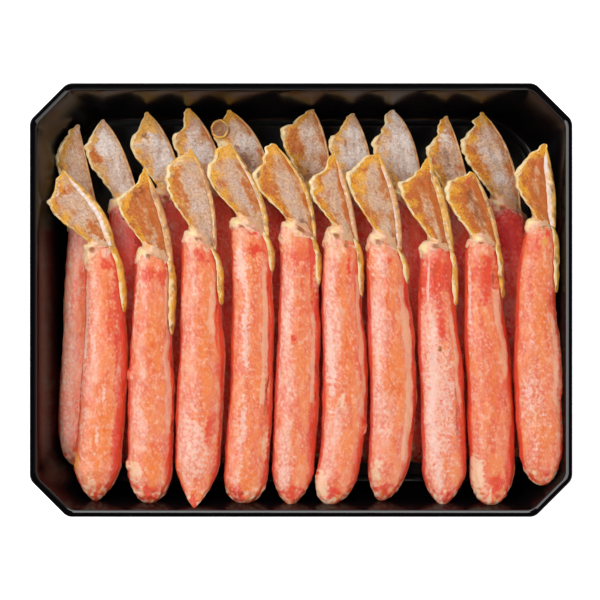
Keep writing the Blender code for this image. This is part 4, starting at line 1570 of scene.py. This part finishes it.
STATIONS = {Layer.UPPER: (7.6, -27.7, -62.9), Layer.LOWER: (15.7, -40.1)}  # Y in mm where bars were measured
LOWER_SEED = 400  # keeps the lower layer's patterns apart from the upper one's
BAND_ROOM = 1.1  # mm of an upper joint's right end that belong to the band of shell
RIM_LIFT = 3.0  # mm from a bar's middle up to the handle's rim
RIM_RISE = 0.03  # mm that the rim rises for each mm along the handle
LOWER_JOINT = (5.6, 3.0)  # mm from a lower joint's middle to its ends, across and along


@dataclass(frozen=True)
class Portion:
    """One leg portion: a bar of meat, its joint, its shell handle and, in the upper layer, a band of shell."""

    number: int  # its place, from the left
    joint_left: Point  # left end of its joint, in mm, as are all places
    joint_right: Point
    middles: Point  # X of the bar's middle at the layer's stations
    widths: Point  # the bar's width there
    tip: Point  # the bar's far end, and how far it turns up
    corner: Point  # the handle's left corner
    cut: tuple[Point, ...]  # places along the handle's cut end
    point: Point  # the handle's far point
    side: Point  # a place on the handle's right edge
    band: float = 0.0  # length of the shell left on the bar
    look: dict = field(default_factory=dict)  # the handle's own values
    meat: dict = field(default_factory=dict)  # the bar's own values
    skin: dict = field(default_factory=dict)  # the joint's own values
    finish: Finish = UPPER_MEAT
    layer: Layer = Layer.UPPER

    def name(self) -> str:
        """The start of its nodes' and pieces' names."""
        return f"{self.layer.value}_{self.number:02d}"

    def axis_height(self) -> float:
        """Height of the bar's middle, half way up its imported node's box."""
        low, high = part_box(f"{self.name()}_meat")
        return (low[2] + high[2]) / 2 / MM

    def build(self) -> None:
        """Makes all its pieces."""
        name, z, is_upper = self.name(), self.axis_height(), self.layer is Layer.UPPER
        seed = self.number * 7 + (0 if is_upper else LOWER_SEED)
        meat_right = (self.joint_right[0] - (GAP + BAND_ROOM if is_upper else 0.0), self.joint_right[1])
        bar = Bar(self.joint_left, meat_right, STATIONS[self.layer], self.middles, self.widths, self.tip, z, seed,
                  self.band, **self.meat)
        handle = Handle(self.joint_left, self.joint_right, self.corner, self.cut, self.point, self.side,
                        z + RIM_LIFT, RIM_RISE, seed, **self.look)
        if is_upper:
            slot = Slot.UPPER_MEAT
            handle.build(f"{name}_handle", (f"{name}_shell", f"{name}_flesh"))
            Band(bar, seed + 2).build(f"{name}_band")
        else:
            slot = Slot.LOWER_MEAT
            bar = replace(bar, columns=64, rows=130)
            handle.build(f"{name}_handle", (f"{name}_shell",))
        bar.build(f"{name}_bar", self.finish, slot, f"{name}_meat")
        Sleeve(bar, handle, seed + 4, **self.skin).build(f"{name}_joint", self.finish, slot)


def lower(number: int, joint: Point, middles: Point, width: float, tip: Point, corner: Point,
          cut: tuple[Point, ...], point: Point, side: Point, look: dict, finish: Finish = LOWER_MEAT,
          patches: tuple[Patch, ...] = ()) -> Portion:
    """A portion of the lower layer, whose joint is given by its middle.

    Args:
        number: Its place, from the left.
        joint: Middle of its joint, in mm, as are all places.
        middles: X of the bar's middle at the two stations.
        width: The bar's width.
        tip: The bar's far end.
        corner: The handle's left corner.
        cut: Places along the handle's cut end.
        point: The handle's far point.
        side: A place on the handle's right edge.
        look: The handle's own values.
        finish: The bar's finish.
        patches: The bar's stains.

    Returns:
        The portion.
    """
    (x, y), (wide, long) = joint, LOWER_JOINT
    plain = {"flank": 0.45, "flank_pink": 0.5, "stripe": 0.0, "cream": 0.6}
    meat = {"flank_red": 0.6, "frost_and_highlight_streak": 0.15, "patches": patches}
    return Portion(number, (x - wide, y + long), (x + wide, y - long), middles, (width, width), (*tip, 0.0), corner,
                   cut, point, side, 0.0, plain | look, meat, {}, finish, Layer.LOWER)


# The long, narrow frost patches down the bars' left halves are partly frost and partly painted highlight, where the
# wet meat mirrors the left light.
UPPER = (
    Portion(1, (-82.5, 22.0), (-73.0, 21.0), (-76.5, -77.0, -79.5), (15.5, 18.0, 18.3), (-80.5, -79.0, 0.0),
          (-99.5, 38.5), ((-97.5, 40.0), (-97.0, 42.5), (-96.0, 47.0)), (-93.0, 50.5), (-78.5, 36.5), 26.0,
          {"flank": 1.9, "stripe": 1.0, "amber": 0.45, "frost": 0.2, "gold": 0.6, "cream": 0.4, "lump": 0.5,
           "patches": (Patch(Tint.FROST, -0.85, 44.5, 0.3, 4.0, 0.7), Patch(Tint.AMBER, 0.5, 27.0, 0.6, 4.0, 0.8))},
          {"lit_left_pink": 0.5, "flank_red": 0.95, "tip_power": (1.5, 0.7),
           "patches": (
              Patch(Tint.CREAM, -0.7, 16.0, 0.4, 6.0, 0.5, 0.3), Patch(Tint.RED, 0.3, 13.5, 0.3, 2.5, 1.0),
              Patch(Tint.FROST, -0.88, -14.0, 0.07, 25.0, 0.8), Patch(Tint.RED, 0.45, -8.0, 0.3, 12.0, 0.5),
              Patch(Tint.AMBER, -0.1, -55.0, 0.6, 16.0, 0.6), Patch(Tint.FROST, 0.1, -36.0, 0.07, 5.0, 0.9),
              Patch(Tint.FROST, -0.05, -54.0, 0.09, 5.0, 0.9), Patch(Tint.RED, 0.75, -24.0, 0.22, 46.0, 0.8),
              Patch(Tint.GOLD, -0.92, -63.0, 0.12, 5.0, 0.8), Patch(Tint.RED, 0.2, -75.0, 0.5, 4.0, 0.7),
              Patch(Tint.CREAM, -0.25, -72.0, 0.3, 4.0, 0.6)), "frost_and_highlight_streak": 0.35},
          {"knuckle": (-0.7, 1.0), "pit": (-0.38, 3.3),
           "notch": (0.43, 2.7), "drape": (10.0, 5.5)}),
    Portion(2, (-61.5, 21.0), (-50.0, 14.5), (-57.0, -58.5, -59.0), (16.5, 18.0, 17.8), (-59.5, -79.7, 1.0),
          (-72.0, 40.0), ((-69.5, 42.0), (-66.5, 43.5), (-64.0, 45.5), (-62.5, 48.5)), (-61.0, 51.5), (-53.0, 33.0),
          30.0,
          {"flank": 2.2, "flank_pink": 0.5, "stripe": 0.45, "amber": 2.3, "frost": 0.0, "gold": 0.9, "lump": 1.1,
           "patches": (Patch(Tint.FROST, 0.4, 25.0, 0.5, 6.0, 0.4), Patch(Tint.DEEP, -0.3, 42.0, 0.5, 3.5, 0.5))},
          {"tendon": (0.76, 0.09, 11.0, -52.0), "lit_left_pink": 0.6, "tip_power": (2.0, 0.5),
           "patches": (
              Patch(Tint.CREAM, -0.6, 15.5, 0.4, 3.0, 0.5, 0.3), Patch(Tint.RED, -0.25, 9.5, 0.35, 2.6, 0.7),
              Patch(Tint.RED, 0.5, 8.5, 0.2, 4.0, 0.8), Patch(Tint.FROST, -0.78, 1.5, 0.1, 6.5, 0.9),
              Patch(Tint.AMBER, 0.35, -16.0, 0.3, 6.0, 0.6), Patch(Tint.TENDON, -0.97, -29.3, 0.2, 1.8, 0.5, 0.7),
              Patch(Tint.CREAM, -0.62, -66.0, 0.3, 5.0, 0.85), Patch(Tint.CREAM, -0.98, -64.5, 0.16, 1.6, 0.9, 0.9),
              Patch(Tint.RED, 0.1, -75.5, 0.55, 3.5, 0.9), Patch(Tint.AMBER, 0.2, -66.0, 0.4, 7.0, 0.8))},
          {"knuckle": (-0.69, 1.9), "pit": (-0.26, 2.8),
           "notch": (0.4, 2.3), "drape": (6.5, 4.2)}),
    Portion(3, (-43.0, 27.5), (-33.0, 19.5), (-38.5, -39.0, -40.5), (16.5, 18.0, 18.0), (-41.5, -81.0, 6.0),
          (-53.0, 47.5), ((-52.5, 51.5), (-51.0, 54.5), (-48.5, 55.0), (-45.5, 57.0)), (-43.0, 59.0), (-35.0, 42.0),
          23.0,
          {"flank": 1.4, "flank_pink": 0.5, "stripe": 0.2, "amber": 0.3, "frost": 0.2, "gold": 0.9, "lump": 0.5,
           "patches": (Patch(Tint.CREAM, -0.8, 54.0, 0.4, 2.5, 0.6), Patch(Tint.AMBER, -0.6, 42.0, 0.5, 9.0, 0.7))},
          {"tendon": (0.5, 0.12, 6.0, -14.0), "lit_left_pink": 0.55, "flank_red": 0.5,
           "tip_round": 17.0, "tip_power": (1.35, 0.8),
           "patches": (
              Patch(Tint.CREAM, -0.2, 22.0, 0.7, 3.0, 0.55, 0.4), Patch(Tint.RED, -0.05, 17.5, 0.35, 2.4, 1.0),
              Patch(Tint.RED, 0.45, 15.5, 0.12, 1.2, 1.0), Patch(Tint.AMBER, 0.2, -17.0, 0.2, 8.0, 1.1),
              Patch(Tint.PINK, -0.15, -58.0, 0.6, 13.0, 1.1), Patch(Tint.FROST, -0.2, -55.0, 0.3, 8.0, 0.45),
              Patch(Tint.RED, 0.45, -51.0, 0.16, 5.0, 0.9), Patch(Tint.RED, -0.1, -78.5, 0.6, 3.0, 0.9),
              Patch(Tint.TENDON, 0.8, -45.0, 0.14, 12.0, 0.6))},
          {"knuckle": (-0.6, 0.0), "pit": (-0.05, 1.0),
           "notch": (0.3, 1.8), "drape": (5.5, 4.5)}),
    Portion(4, (-24.5, 32.5), (-12.5, 25.0), (-18.5, -19.5, -21.0), (17.0, 17.0, 17.5), (-22.5, -79.7, 1.0),
          (-37.0, 50.5), ((-36.0, 53.5), (-34.0, 55.5), (-33.0, 59.0)), (-28.0, 61.5), (-16.0, 42.5), 15.0,
          {"flank": 1.7, "stripe": 0.55, "amber": 0.5, "frost": 0.12, "gold": 1.0, "lump": 0.5,
           "patches": (Patch(Tint.GOLD, 0.2, 57.5, 0.7, 3.0, 0.8), Patch(Tint.AMBER, 0.7, 38.0, 0.3, 10.0, 0.6))},
          {"tendon": (0.6, 0.09, 13.0, -39.0), "frost_and_highlight_streak": 0.7, "lit_left_pink": 0.25, "flank_red": 0.6,
           "tip_round": 13.0, "tip_power": (2.2, 0.5),
           "patches": (
              Patch(Tint.CREAM, -0.5, 24.0, 0.5, 6.0, 0.44, 0.2), Patch(Tint.FROST, -0.5, 14.0, 0.35, 6.0, 0.7),
              Patch(Tint.RED, 0.15, 19.5, 0.3, 2.4, 1.0), Patch(Tint.FROST, -0.3, -14.0, 0.16, 10.0, 0.8),
              Patch(Tint.FROST, -0.25, -47.0, 0.16, 8.0, 0.8), Patch(Tint.DEEP, 0.66, -39.0, 0.05, 12.0, 0.7),
              Patch(Tint.CREAM, 0.78, -57.0, 0.16, 6.0, 0.6), Patch(Tint.RED, -0.35, -75.5, 0.4, 3.5, 0.9),
              Patch(Tint.AMBER, 0.3, -70.0, 0.4, 4.0, 0.6))},
          {"knuckle": (-0.65, 1.6), "pit": (-0.36, 3.0),
           "notch": (0.33, 0.6), "shoulder": (-1.0, 4.1), "drape": (5.5, 4.0)}),
    Portion(5, (-5.0, 31.0), (6.0, 23.5), (0.0, -1.3, -3.0), (16.5, 17.0, 16.8), (-4.0, -80.3, 3.0),
          (-19.0, 49.0), ((-17.0, 51.5), (-15.0, 54.0), (-14.5, 57.0), (-13.5, 60.0)), (-10.5, 61.0), (2.0, 44.5),
          19.0,
          {"flank": 1.4, "stripe": 0.1, "amber": 0.85, "frost": 0.1, "gold": 0.8, "cream": 1.0, "lump": 1.4,
           "patches": (Patch(Tint.AMBER, -0.7, 44.0, 0.35, 6.0, 0.8), Patch(Tint.DEEP, 0.5, 30.0, 0.3, 2.0, 0.5))},
          {"lit_left_pink": 0.75, "flank_red": 0.8, "tip_power": (1.55, 0.65),
           "patches": (
              Patch(Tint.CREAM, -0.6, 24.0, 0.45, 5.5, 0.55, 0.3), Patch(Tint.RED, 0.62, 12.0, 0.07, 12.0, 1.0, -0.2),
              Patch(Tint.RED, 0.1, 17.0, 0.6, 6.0, 0.5), Patch(Tint.TENDON, 0.86, 8.5, 0.14, 6.0, 0.9, 0.4),
              Patch(Tint.FROST, -0.6, -9.0, 0.14, 8.0, 0.9), Patch(Tint.RED, -0.25, -15.0, 0.13, 1.5, 1.0),
              Patch(Tint.TENDON, 0.0, -16.5, 0.1, 1.4, 1.0), Patch(Tint.FROST, -0.4, -66.0, 0.35, 8.0, 0.5),
              Patch(Tint.RED, 0.1, -76.0, 0.55, 3.5, 0.9), Patch(Tint.RED, 0.75, -55.0, 0.2, 12.0, 0.5))},
          {"knuckle": (-0.62, 0.5), "pit": (0.0, -0.3),
           "notch": (0.58, -0.5), "shoulder": (-1.0, 7.6), "drape": (8.0, 3.2)}),
    Portion(6, (12.5, 29.0), (22.5, 23.0), (17.0, 16.8, 16.0), (16.5, 17.6, 17.0), (11.0, -80.2, 2.5),
          (3.2, 45.5), ((3.5, 47.5), (6.0, 49.0), (9.0, 50.5), (10.0, 53.0), (10.5, 56.0)), (12.5, 58.0),
          (18.8, 42.5), 23.0,
          {"flank": 1.6, "flank_pink": 0.6, "stripe": 0.5, "amber": 0.95, "frost": 0.05, "gold": 0.8, "lump": 1.3,
           "cream": 0.9, "patches": (Patch(Tint.RED, -0.1, 42.0, 0.5, 5.0, 0.2),)},
          {"tendon": (0.74, 0.07, 10.0, -45.0), "lit_left_pink": 0.85, "flank_red": 0.7,
           "patches": (
              Patch(Tint.CREAM, -0.4, 20.5, 0.65, 6.0, 0.52, 0.2), Patch(Tint.PIT, 0.32, 21.5, 0.2, 2.0, 1.0),
              Patch(Tint.RED, 0.35, 14.0, 0.1, 3.0, 1.0), Patch(Tint.FROST, -0.65, -20.0, 0.16, 21.0, 0.95),
              Patch(Tint.CREAM, -0.15, -39.0, 0.14, 4.5, 0.7), Patch(Tint.TENDON, 0.97, -50.7, 0.16, 2.0, 0.7, 0.7),
              Patch(Tint.CREAM, -0.75, -72.0, 0.32, 5.5, 1.0, 0.5), Patch(Tint.RED, 0.05, -75.5, 0.3, 2.5, 0.9))},
          {"knuckle": (-0.5, 1.4), "pit": (-0.3, 3.1),
           "notch": (0.36, 4.6), "shoulder": (-1.0, 7.7), "drape": (8.5, 6.5)}),
    Portion(7, (29.0, 26.5), (39.5, 19.5), (34.5, 35.5, 35.0), (17.0, 18.2, 16.6), (31.5, -78.7, 0.0),
          (17.5, 49.5), ((20.0, 51.5), (22.5, 53.5), (24.5, 56.0), (27.5, 56.5)), (30.0, 57.5), (37.5, 40.0), 14.0,
          {"flank": 1.7, "flank_pink": 0.5, "stripe": 0.65, "amber": 0.7, "frost": 0.1, "gold": 0.9, "lump": 1.0,
           "patches": (Patch(Tint.GOLD, -0.4, 46.0, 0.35, 4.0, 0.45),)},
          {"tendon": (0.66, 0.13, 6.0, -62.0), "lit_left_pink": 0.75, "flank_red": 0.5,
           "tip_round": 16.0, "tip_power": (1.7, 0.5),
           "patches": (
              Patch(Tint.CREAM, -0.4, 21.0, 0.5, 3.0, 0.5, 0.3), Patch(Tint.FROST, -0.25, 15.0, 0.6, 5.0, 0.5, 0.3),
              Patch(Tint.RED, 0.12, 15.0, 0.18, 1.9, 1.0), Patch(Tint.FROST, -0.65, -18.0, 0.14, 21.0, 0.7),
              Patch(Tint.DEEP, 0.94, -41.0, 0.07, 14.0, 0.7), Patch(Tint.CREAM, -0.6, -68.0, 0.3, 5.0, 0.75),
              Patch(Tint.RED, 0.0, -73.5, 0.4, 2.5, 0.8), Patch(Tint.AMBER, 0.1, -25.0, 0.4, 12.0, 0.4))},
          {"knuckle": (-0.56, 1.2), "pit": (-0.38, 3.1),
           "notch": (0.15, 1.8), "shoulder": (-0.8, 7.7), "drape": (6.5, 4.2)}),
    Portion(8, (50.5, 23.5), (60.0, 19.0), (53.5, 55.0, 56.0), (15.5, 17.2, 17.2), (55.5, -80.3, 3.0),
          (38.0, 46.0), ((40.0, 46.5), (42.0, 47.5), (44.0, 49.5), (46.5, 51.0), (47.5, 53.0)), (49.5, 55.5),
          (56.8, 39.0), 22.0,
          {"flank": 2.6, "stripe": 0.55, "amber": 1.9, "frost": 0.0, "gold": 0.9, "lump": 1.0,
           "patches": (Patch(Tint.FROST, 0.2, 32.0, 0.5, 8.0, 0.35),)},
          {"frost_and_highlight_streak": 0.8, "lit_left_pink": 0.95, "flank_red": 0.8, "warm": 0.0, "tip_power": (1.55, 0.65),
           "patches": (
              Patch(Tint.RED, -0.15, 8.0, 0.8, 10.0, 1.0), Patch(Tint.DEEP, -0.3, 12.0, 0.3, 4.0, 0.4),
              Patch(Tint.FROST, -0.5, 7.0, 0.06, 8.0, 1.0), Patch(Tint.FROST, -0.1, -35.0, 0.65, 33.0, 0.62),
              Patch(Tint.RED, 0.1, -10.0, 0.22, 8.0, 0.8), Patch(Tint.PIT, 0.0, -19.0, 0.08, 1.0, 1.0),
              Patch(Tint.DEEP, 0.55, -44.0, 0.05, 12.0, 0.8), Patch(Tint.RED, 0.1, -77.0, 0.5, 3.0, 0.8),
              Patch(Tint.CREAM, -0.7, 19.0, 0.3, 2.5, 0.5, 0.3))},
          {"knuckle": (-1.0, 3.0), "pit": (-0.2, 1.2),
           "notch": (0.1, 2.6), "shoulder": (-1.0, 5.5), "drape": (6.0, 3.6)}),
    Portion(9, (67.0, 24.0), (78.0, 21.0), (72.0, 73.4, 74.9), (15.5, 17.8, 17.9), (74.0, -80.2, 3.0),
          (56.0, 44.0), ((57.5, 46.5), (60.0, 47.5), (63.0, 48.5), (66.0, 50.0)), (67.5, 49.5), (74.0, 37.5), 21.0,
          {"flank": 1.5, "flank_pink": 0.4, "stripe": 0.1, "amber": 2.3, "frost": 0.0, "gold": 0.5, "lump": 1.1,
           "cream": 0.9,
           "patches": (Patch(Tint.RED, 0.0, 46.5, 0.25, 1.6, 0.9), Patch(Tint.DEEP, 0.3, 36.0, 0.5, 9.0, 0.5))},
          {"tendon": (0.62, 0.13, 5.0, -28.0), "lit_left_pink": 0.25, "flank_red": 0.9, "warm": 0.2,
           "patches": (
              Patch(Tint.CREAM, -0.1, 19.5, 0.7, 3.0, 0.5, 0.4), Patch(Tint.RED, 0.0, 8.0, 0.8, 9.0, 0.75),
              Patch(Tint.FROST, -0.78, 0.0, 0.06, 16.0, 1.0), Patch(Tint.DEEP, 0.45, 8.5, 0.07, 5.0, 0.8),
              Patch(Tint.CREAM, -0.75, -68.0, 0.35, 8.0, 1.0), Patch(Tint.RED, 0.15, -72.0, 0.4, 5.0, 0.9),
              Patch(Tint.CREAM, -0.1, -76.0, 0.1, 4.0, 0.8), Patch(Tint.RED, 0.1, -35.0, 0.5, 20.0, 0.4))},
          {"knuckle": (-0.42, -0.6), "pit": (-0.1, 1.5),
           "notch": (0.44, 2.5), "shoulder": (-1.0, 5.0), "drape": (5.0, 4.2)}),
    Portion(10, (91.0, 32.0), (99.0, 28.0), (92.3, 92.4, 93.3), (16.0, 18.2, 16.6), (94.0, -72.3, 0.0),
          (83.0, 49.5), ((84.5, 51.0), (86.0, 54.0), (89.0, 57.0), (92.0, 59.0)), (95.0, 60.5), (98.8, 44.0), 26.0,
          {"flank": 2.2, "stripe": 1.0, "amber": 2.5, "frost": 0.0, "gold": 1.0, "lump": 0.7,
           "patches": (Patch(Tint.RED, 0.3, 50.0, 0.5, 5.0, 0.35), Patch(Tint.FROST, -0.75, 56.0, 0.3, 3.0, 0.6))},
          {"frost_and_highlight_streak": 0.3, "lit_left_pink": 0.3, "flank_red": 0.5,
           "patches": (
              Patch(Tint.RED, -0.45, 20.5, 0.4, 4.5, 0.6), Patch(Tint.CREAM, 0.25, 17.5, 0.17, 5.0, 0.55, 0.2),
              Patch(Tint.GOLD, 0.2, 22.5, 0.16, 1.6, 1.0), Patch(Tint.RED, 0.5, 26.0, 0.16, 1.3, 1.0),
              Patch(Tint.AMBER, 0.3, -6.0, 0.35, 7.0, 0.7), Patch(Tint.FROST, -0.2, -38.0, 0.5, 16.0, 0.4),
              Patch(Tint.TENDON, 0.85, -30.0, 0.16, 25.0, 0.5), Patch(Tint.RED, 0.1, -67.0, 0.5, 3.5, 0.6))},
          {"knuckle": (-0.9, 1.9), "pit": (0.3, 3.2),
           "notch": (0.4, 6.0), "shoulder": (-1.0, 5.0), "drape": (6.0, 7.0)}),
)  # fmt: skip

LOWER = (
    lower(1, (-84.5, 31.0), (-85.5, -88.0), 16.2, (-88.5, -66.5), (-97.3, 59.0),
          ((-95.3, 62.5), (-93.3, 65.0), (-91.7, 68.1)), (-88.2, 69.6), (-83.7, 49.4),
          {"amber": 0.35, "frost": 0.25, "gold": 0.2, "lump": 0.6},
          LIT_EDGE_MEAT, (Patch(Tint.FROST, -0.6, -32.0, 0.35, 16.0, 0.4), Patch(Tint.TENDON, -0.9, 0.0, 0.1, 30.0, 0.5))),
    lower(2, (-68.5, 37.5), (-68.0, -68.5), 16.2, (-69.5, -65.5), (-86.4, 61.5),
          ((-83.7, 64.0), (-82.7, 66.5), (-80.7, 69.6)), (-78.6, 71.6), (-70.1, 58.5),
          {"amber": 0.15, "frost": 0.45, "gold": 0.1, "cream": 1.0, "lump": 1.2,
           "patches": (Patch(Tint.AMBER, -0.65, 57.0, 0.35, 3.0, 0.9), Patch(Tint.FROST, 0.0, 62.0, 0.5, 5.0, 0.8))}),
    lower(3, (-51.0, 41.5), (-49.0, -49.5), 16.6, (-51.0, -65.0), (-68.0, 63.5),
          ((-67.0, 65.5), (-64.5, 67.5), (-63.5, 70.6), (-62.5, 73.1)), (-61.3, 74.6), (-51.9, 62.0),
          {"amber": 0.15, "frost": 0.65, "gold": 0.9, "lump": 0.5,
           "patches": (Patch(Tint.GOLD, -0.1, 69.0, 0.9, 4.5, 1.0), Patch(Tint.DEEP, -0.3, 65.5, 0.4, 1.5, 0.8))}),
    lower(4, (-34.0, 43.0), (-29.5, -30.5), 16.6, (-31.5, -65.0), (-51.4, 64.5),
          ((-50.4, 66.0), (-47.4, 67.0), (-46.4, 70.1), (-46.9, 72.6), (-45.9, 75.1)), (-44.7, 76.1), (-34.8, 63.0),
          {"amber": 0.5, "frost": 0.45, "gold": 1.0, "cream": 0.9, "lump": 1.2,
           "patches": (Patch(Tint.RED, -0.1, 69.0, 0.5, 3.0, 0.35), Patch(Tint.FROST, 0.2, 58.5, 0.5, 4.0, 0.9))}),
    lower(5, (-15.5, 43.5), (-10.0, -11.5), 16.6, (-12.5, -65.0), (-35.3, 67.0),
          ((-33.3, 69.6), (-31.3, 71.1), (-30.2, 73.6)), (-28.7, 75.4), (-16.6, 63.0),
          {"amber": 0.6, "frost": 0.5, "gold": 0.9, "lump": 0.4,
           "patches": (Patch(Tint.CREAM, -0.8, 62.5, 0.3, 1.6, 1.0), Patch(Tint.DEEP, -0.2, 55.0, 0.6, 6.0, 0.6))}),
    lower(6, (8.5, 39.5), (8.5, 7.5), 16.6, (6.0, -65.0), (-8.1, 67.5),
          ((-6.0, 69.6), (-3.5, 69.6), (-2.0, 71.6), (1.0, 74.1)), (4.5, 75.6), (10.1, 62.5),
          {"amber": 0.6, "frost": 0.3, "gold": 0.4, "cream": 0.8, "lump": 1.4,
           "patches": (Patch(Tint.AMBER, -0.5, 62.0, 0.4, 6.0, 0.7), Patch(Tint.DEEP, -0.6, 50.0, 0.4, 3.0, 0.6))}),
    lower(7, (24.5, 41.5), (26.5, 26.0), 16.4, (25.5, -65.0), (11.1, 63.5),
          ((12.1, 65.0), (14.6, 66.0), (16.1, 69.1), (18.2, 72.6)), (20.7, 74.1), (26.7, 60.5),
          {"amber": 0.1, "frost": 0.7, "gold": 0.4, "lump": 1.0}),
    lower(8, (43.0, 41.5), (44.5, 46.0), 16.6, (46.5, -65.0), (28.2, 62.0),
          ((28.7, 64.0), (31.3, 66.0), (32.8, 69.6), (33.3, 73.6)), (36.3, 75.4), (44.9, 62.5),
          {"amber": 0.08, "frost": 0.85, "gold": 0.2, "cream": 0.9, "lump": 1.2}),
    lower(9, (62.5, 40.5), (64.0, 65.5), 16.6, (66.5, -64.0), (49.9, 60.5),
          ((50.9, 62.5), (53.4, 64.5), (54.4, 68.1), (55.5, 71.1)), (57.7, 73.1), (63.5, 58.5),
          {"amber": 0.6, "frost": 0.3, "gold": 0.5, "lump": 0.8,
           "patches": (Patch(Tint.FROST, -0.1, 65.0, 0.6, 2.5, 0.8), Patch(Tint.DEEP, 0.0, 57.0, 0.7, 4.0, 0.5))}),
    lower(10, (82.0, 37.5), (83.5, 86.0), 16.6, (86.5, -62.5), (62.9, 63.0),
          ((65.0, 64.5), (66.0, 66.5), (68.1, 68.1), (68.4, 71.1)), (71.6, 74.6), (82.7, 58.5),
          {"amber": 0.5, "frost": 0.3, "gold": 0.8, "cream": 1.0, "lump": 1.2,
           "patches": (Patch(Tint.AMBER, -0.7, 55.0, 0.3, 8.0, 0.7),)},
          LOWER_MEAT, (Patch(Tint.RED, 0.0, 25.0, 0.9, 9.0, 0.8),)),
)  # fmt: skip


# The studio


@dataclass(frozen=True)
class Studio:
    """White paper, soft lights at the left and the back, a weak fill, and the camera straight above."""

    floor_half: float = 1.5
    floor_z: float = -0.0002  # just under the tray
    camera_height: float = 0.75
    camera_x: float = -0.0004
    lens: float = 111.63
    sensor: float = 36.0
    sky: str = "#FFFFFF"
    sky_strength: float = 0.62
    dark_cap: tuple[float, float] = (0.55, 0.8)  # height on the sky's ball where its dark cap starts and is full
    cap_strength: float = 0.02
    left_light: tuple[Point, Point, float] = ((-0.6, 0.12, 0.78), (0.56, 0.9), 5.1)
    back_light: tuple[Point, Point, float] = ((-0.05, 0.66, 0.72), (1.0, 0.3), 4.0)
    fill_light: tuple[Point, Point, float] = ((0.6, -0.55, 0.7), (0.8, 0.8), 3.6)

    def floor(self) -> None:
        """A square of paper just under the tray."""
        mesh = bpy.data.meshes.new("studio_floor")
        half, z = self.floor_half, self.floor_z
        corners = [(-half, -half, z), (half, -half, z), (half, half, z), (-half, half, z)]
        mesh.from_pydata(corners, [], [(0, 1, 2, 3)])
        mesh.materials.append(PAPER.material())
        paper = bpy.data.objects.new("studio_floor", mesh)
        bpy.context.collection.objects.link(paper)

    def softbox(self, name: str, place: Point, size: Point, power: float) -> None:
        """A rectangular light that faces the tray.

        Args:
            name: Its name.
            place: Its middle, in metres.
            size: Its width and height, in metres.
            power: Its power in watts.
        """
        light = bpy.data.lights.new(name, "AREA")
        light.shape, light.size, light.size_y, light.energy = "RECTANGLE", size[0], size[1], power
        lamp = bpy.data.objects.new(name, light)
        lamp.location = place
        away = np.array(place) / np.linalg.norm(place)
        lamp.rotation_euler = (math.asin(-away[1]), math.atan2(away[0], away[2]), 0.0)
        bpy.context.collection.objects.link(lamp)

    def heaven(self) -> bpy.types.World:
        """White all round, with a dark cap overhead, so that the glossy black floor mirrors black."""
        world = bpy.data.worlds.new("studio_sky")
        world.use_nodes = True
        tree = world.node_tree
        direction = add_node(tree, "TexCoord", {}).outputs["Generated"]
        height = add_node(tree, "SeparateXYZ", {0: direction}).outputs["Z"]
        light = add_node(tree, "MapRange", {0: height, 1: self.dark_cap[0], 2: self.dark_cap[1],
                                            3: self.sky_strength, 4: self.cap_strength}).outputs[0]
        feed(tree, tree.nodes["Background"], {"Color": linear(self.sky), "Strength": light})
        return world

    def build(self) -> None:
        """Makes floor, lights, sky and camera."""
        self.floor()
        self.softbox("left_softbox", *self.left_light)
        self.softbox("back_softbox", *self.back_light)
        self.softbox("fill_softbox", *self.fill_light)
        scene = bpy.context.scene
        scene.world = self.heaven()
        scene.view_settings.view_transform = "Standard"
        camera = bpy.data.objects.new("camera", bpy.data.cameras.new("camera"))
        camera.data.sensor_width, camera.data.lens = self.sensor, self.lens
        camera.location = (self.camera_x, 0.0, self.camera_height)
        scene.collection.objects.link(camera)
        scene.camera = camera


def main() -> None:
    """Builds the studio, the tray and the portions."""
    logging.basicConfig(level=logging.INFO, format="%(name)s %(message)s")
    Studio().build()
    Tray().build()
    for portion in (*LOWER, *UPPER):
        portion.build()
        LOG.info("portion %s done", portion.name())
    Socket().build()


if __name__ == "__main__":
    main()
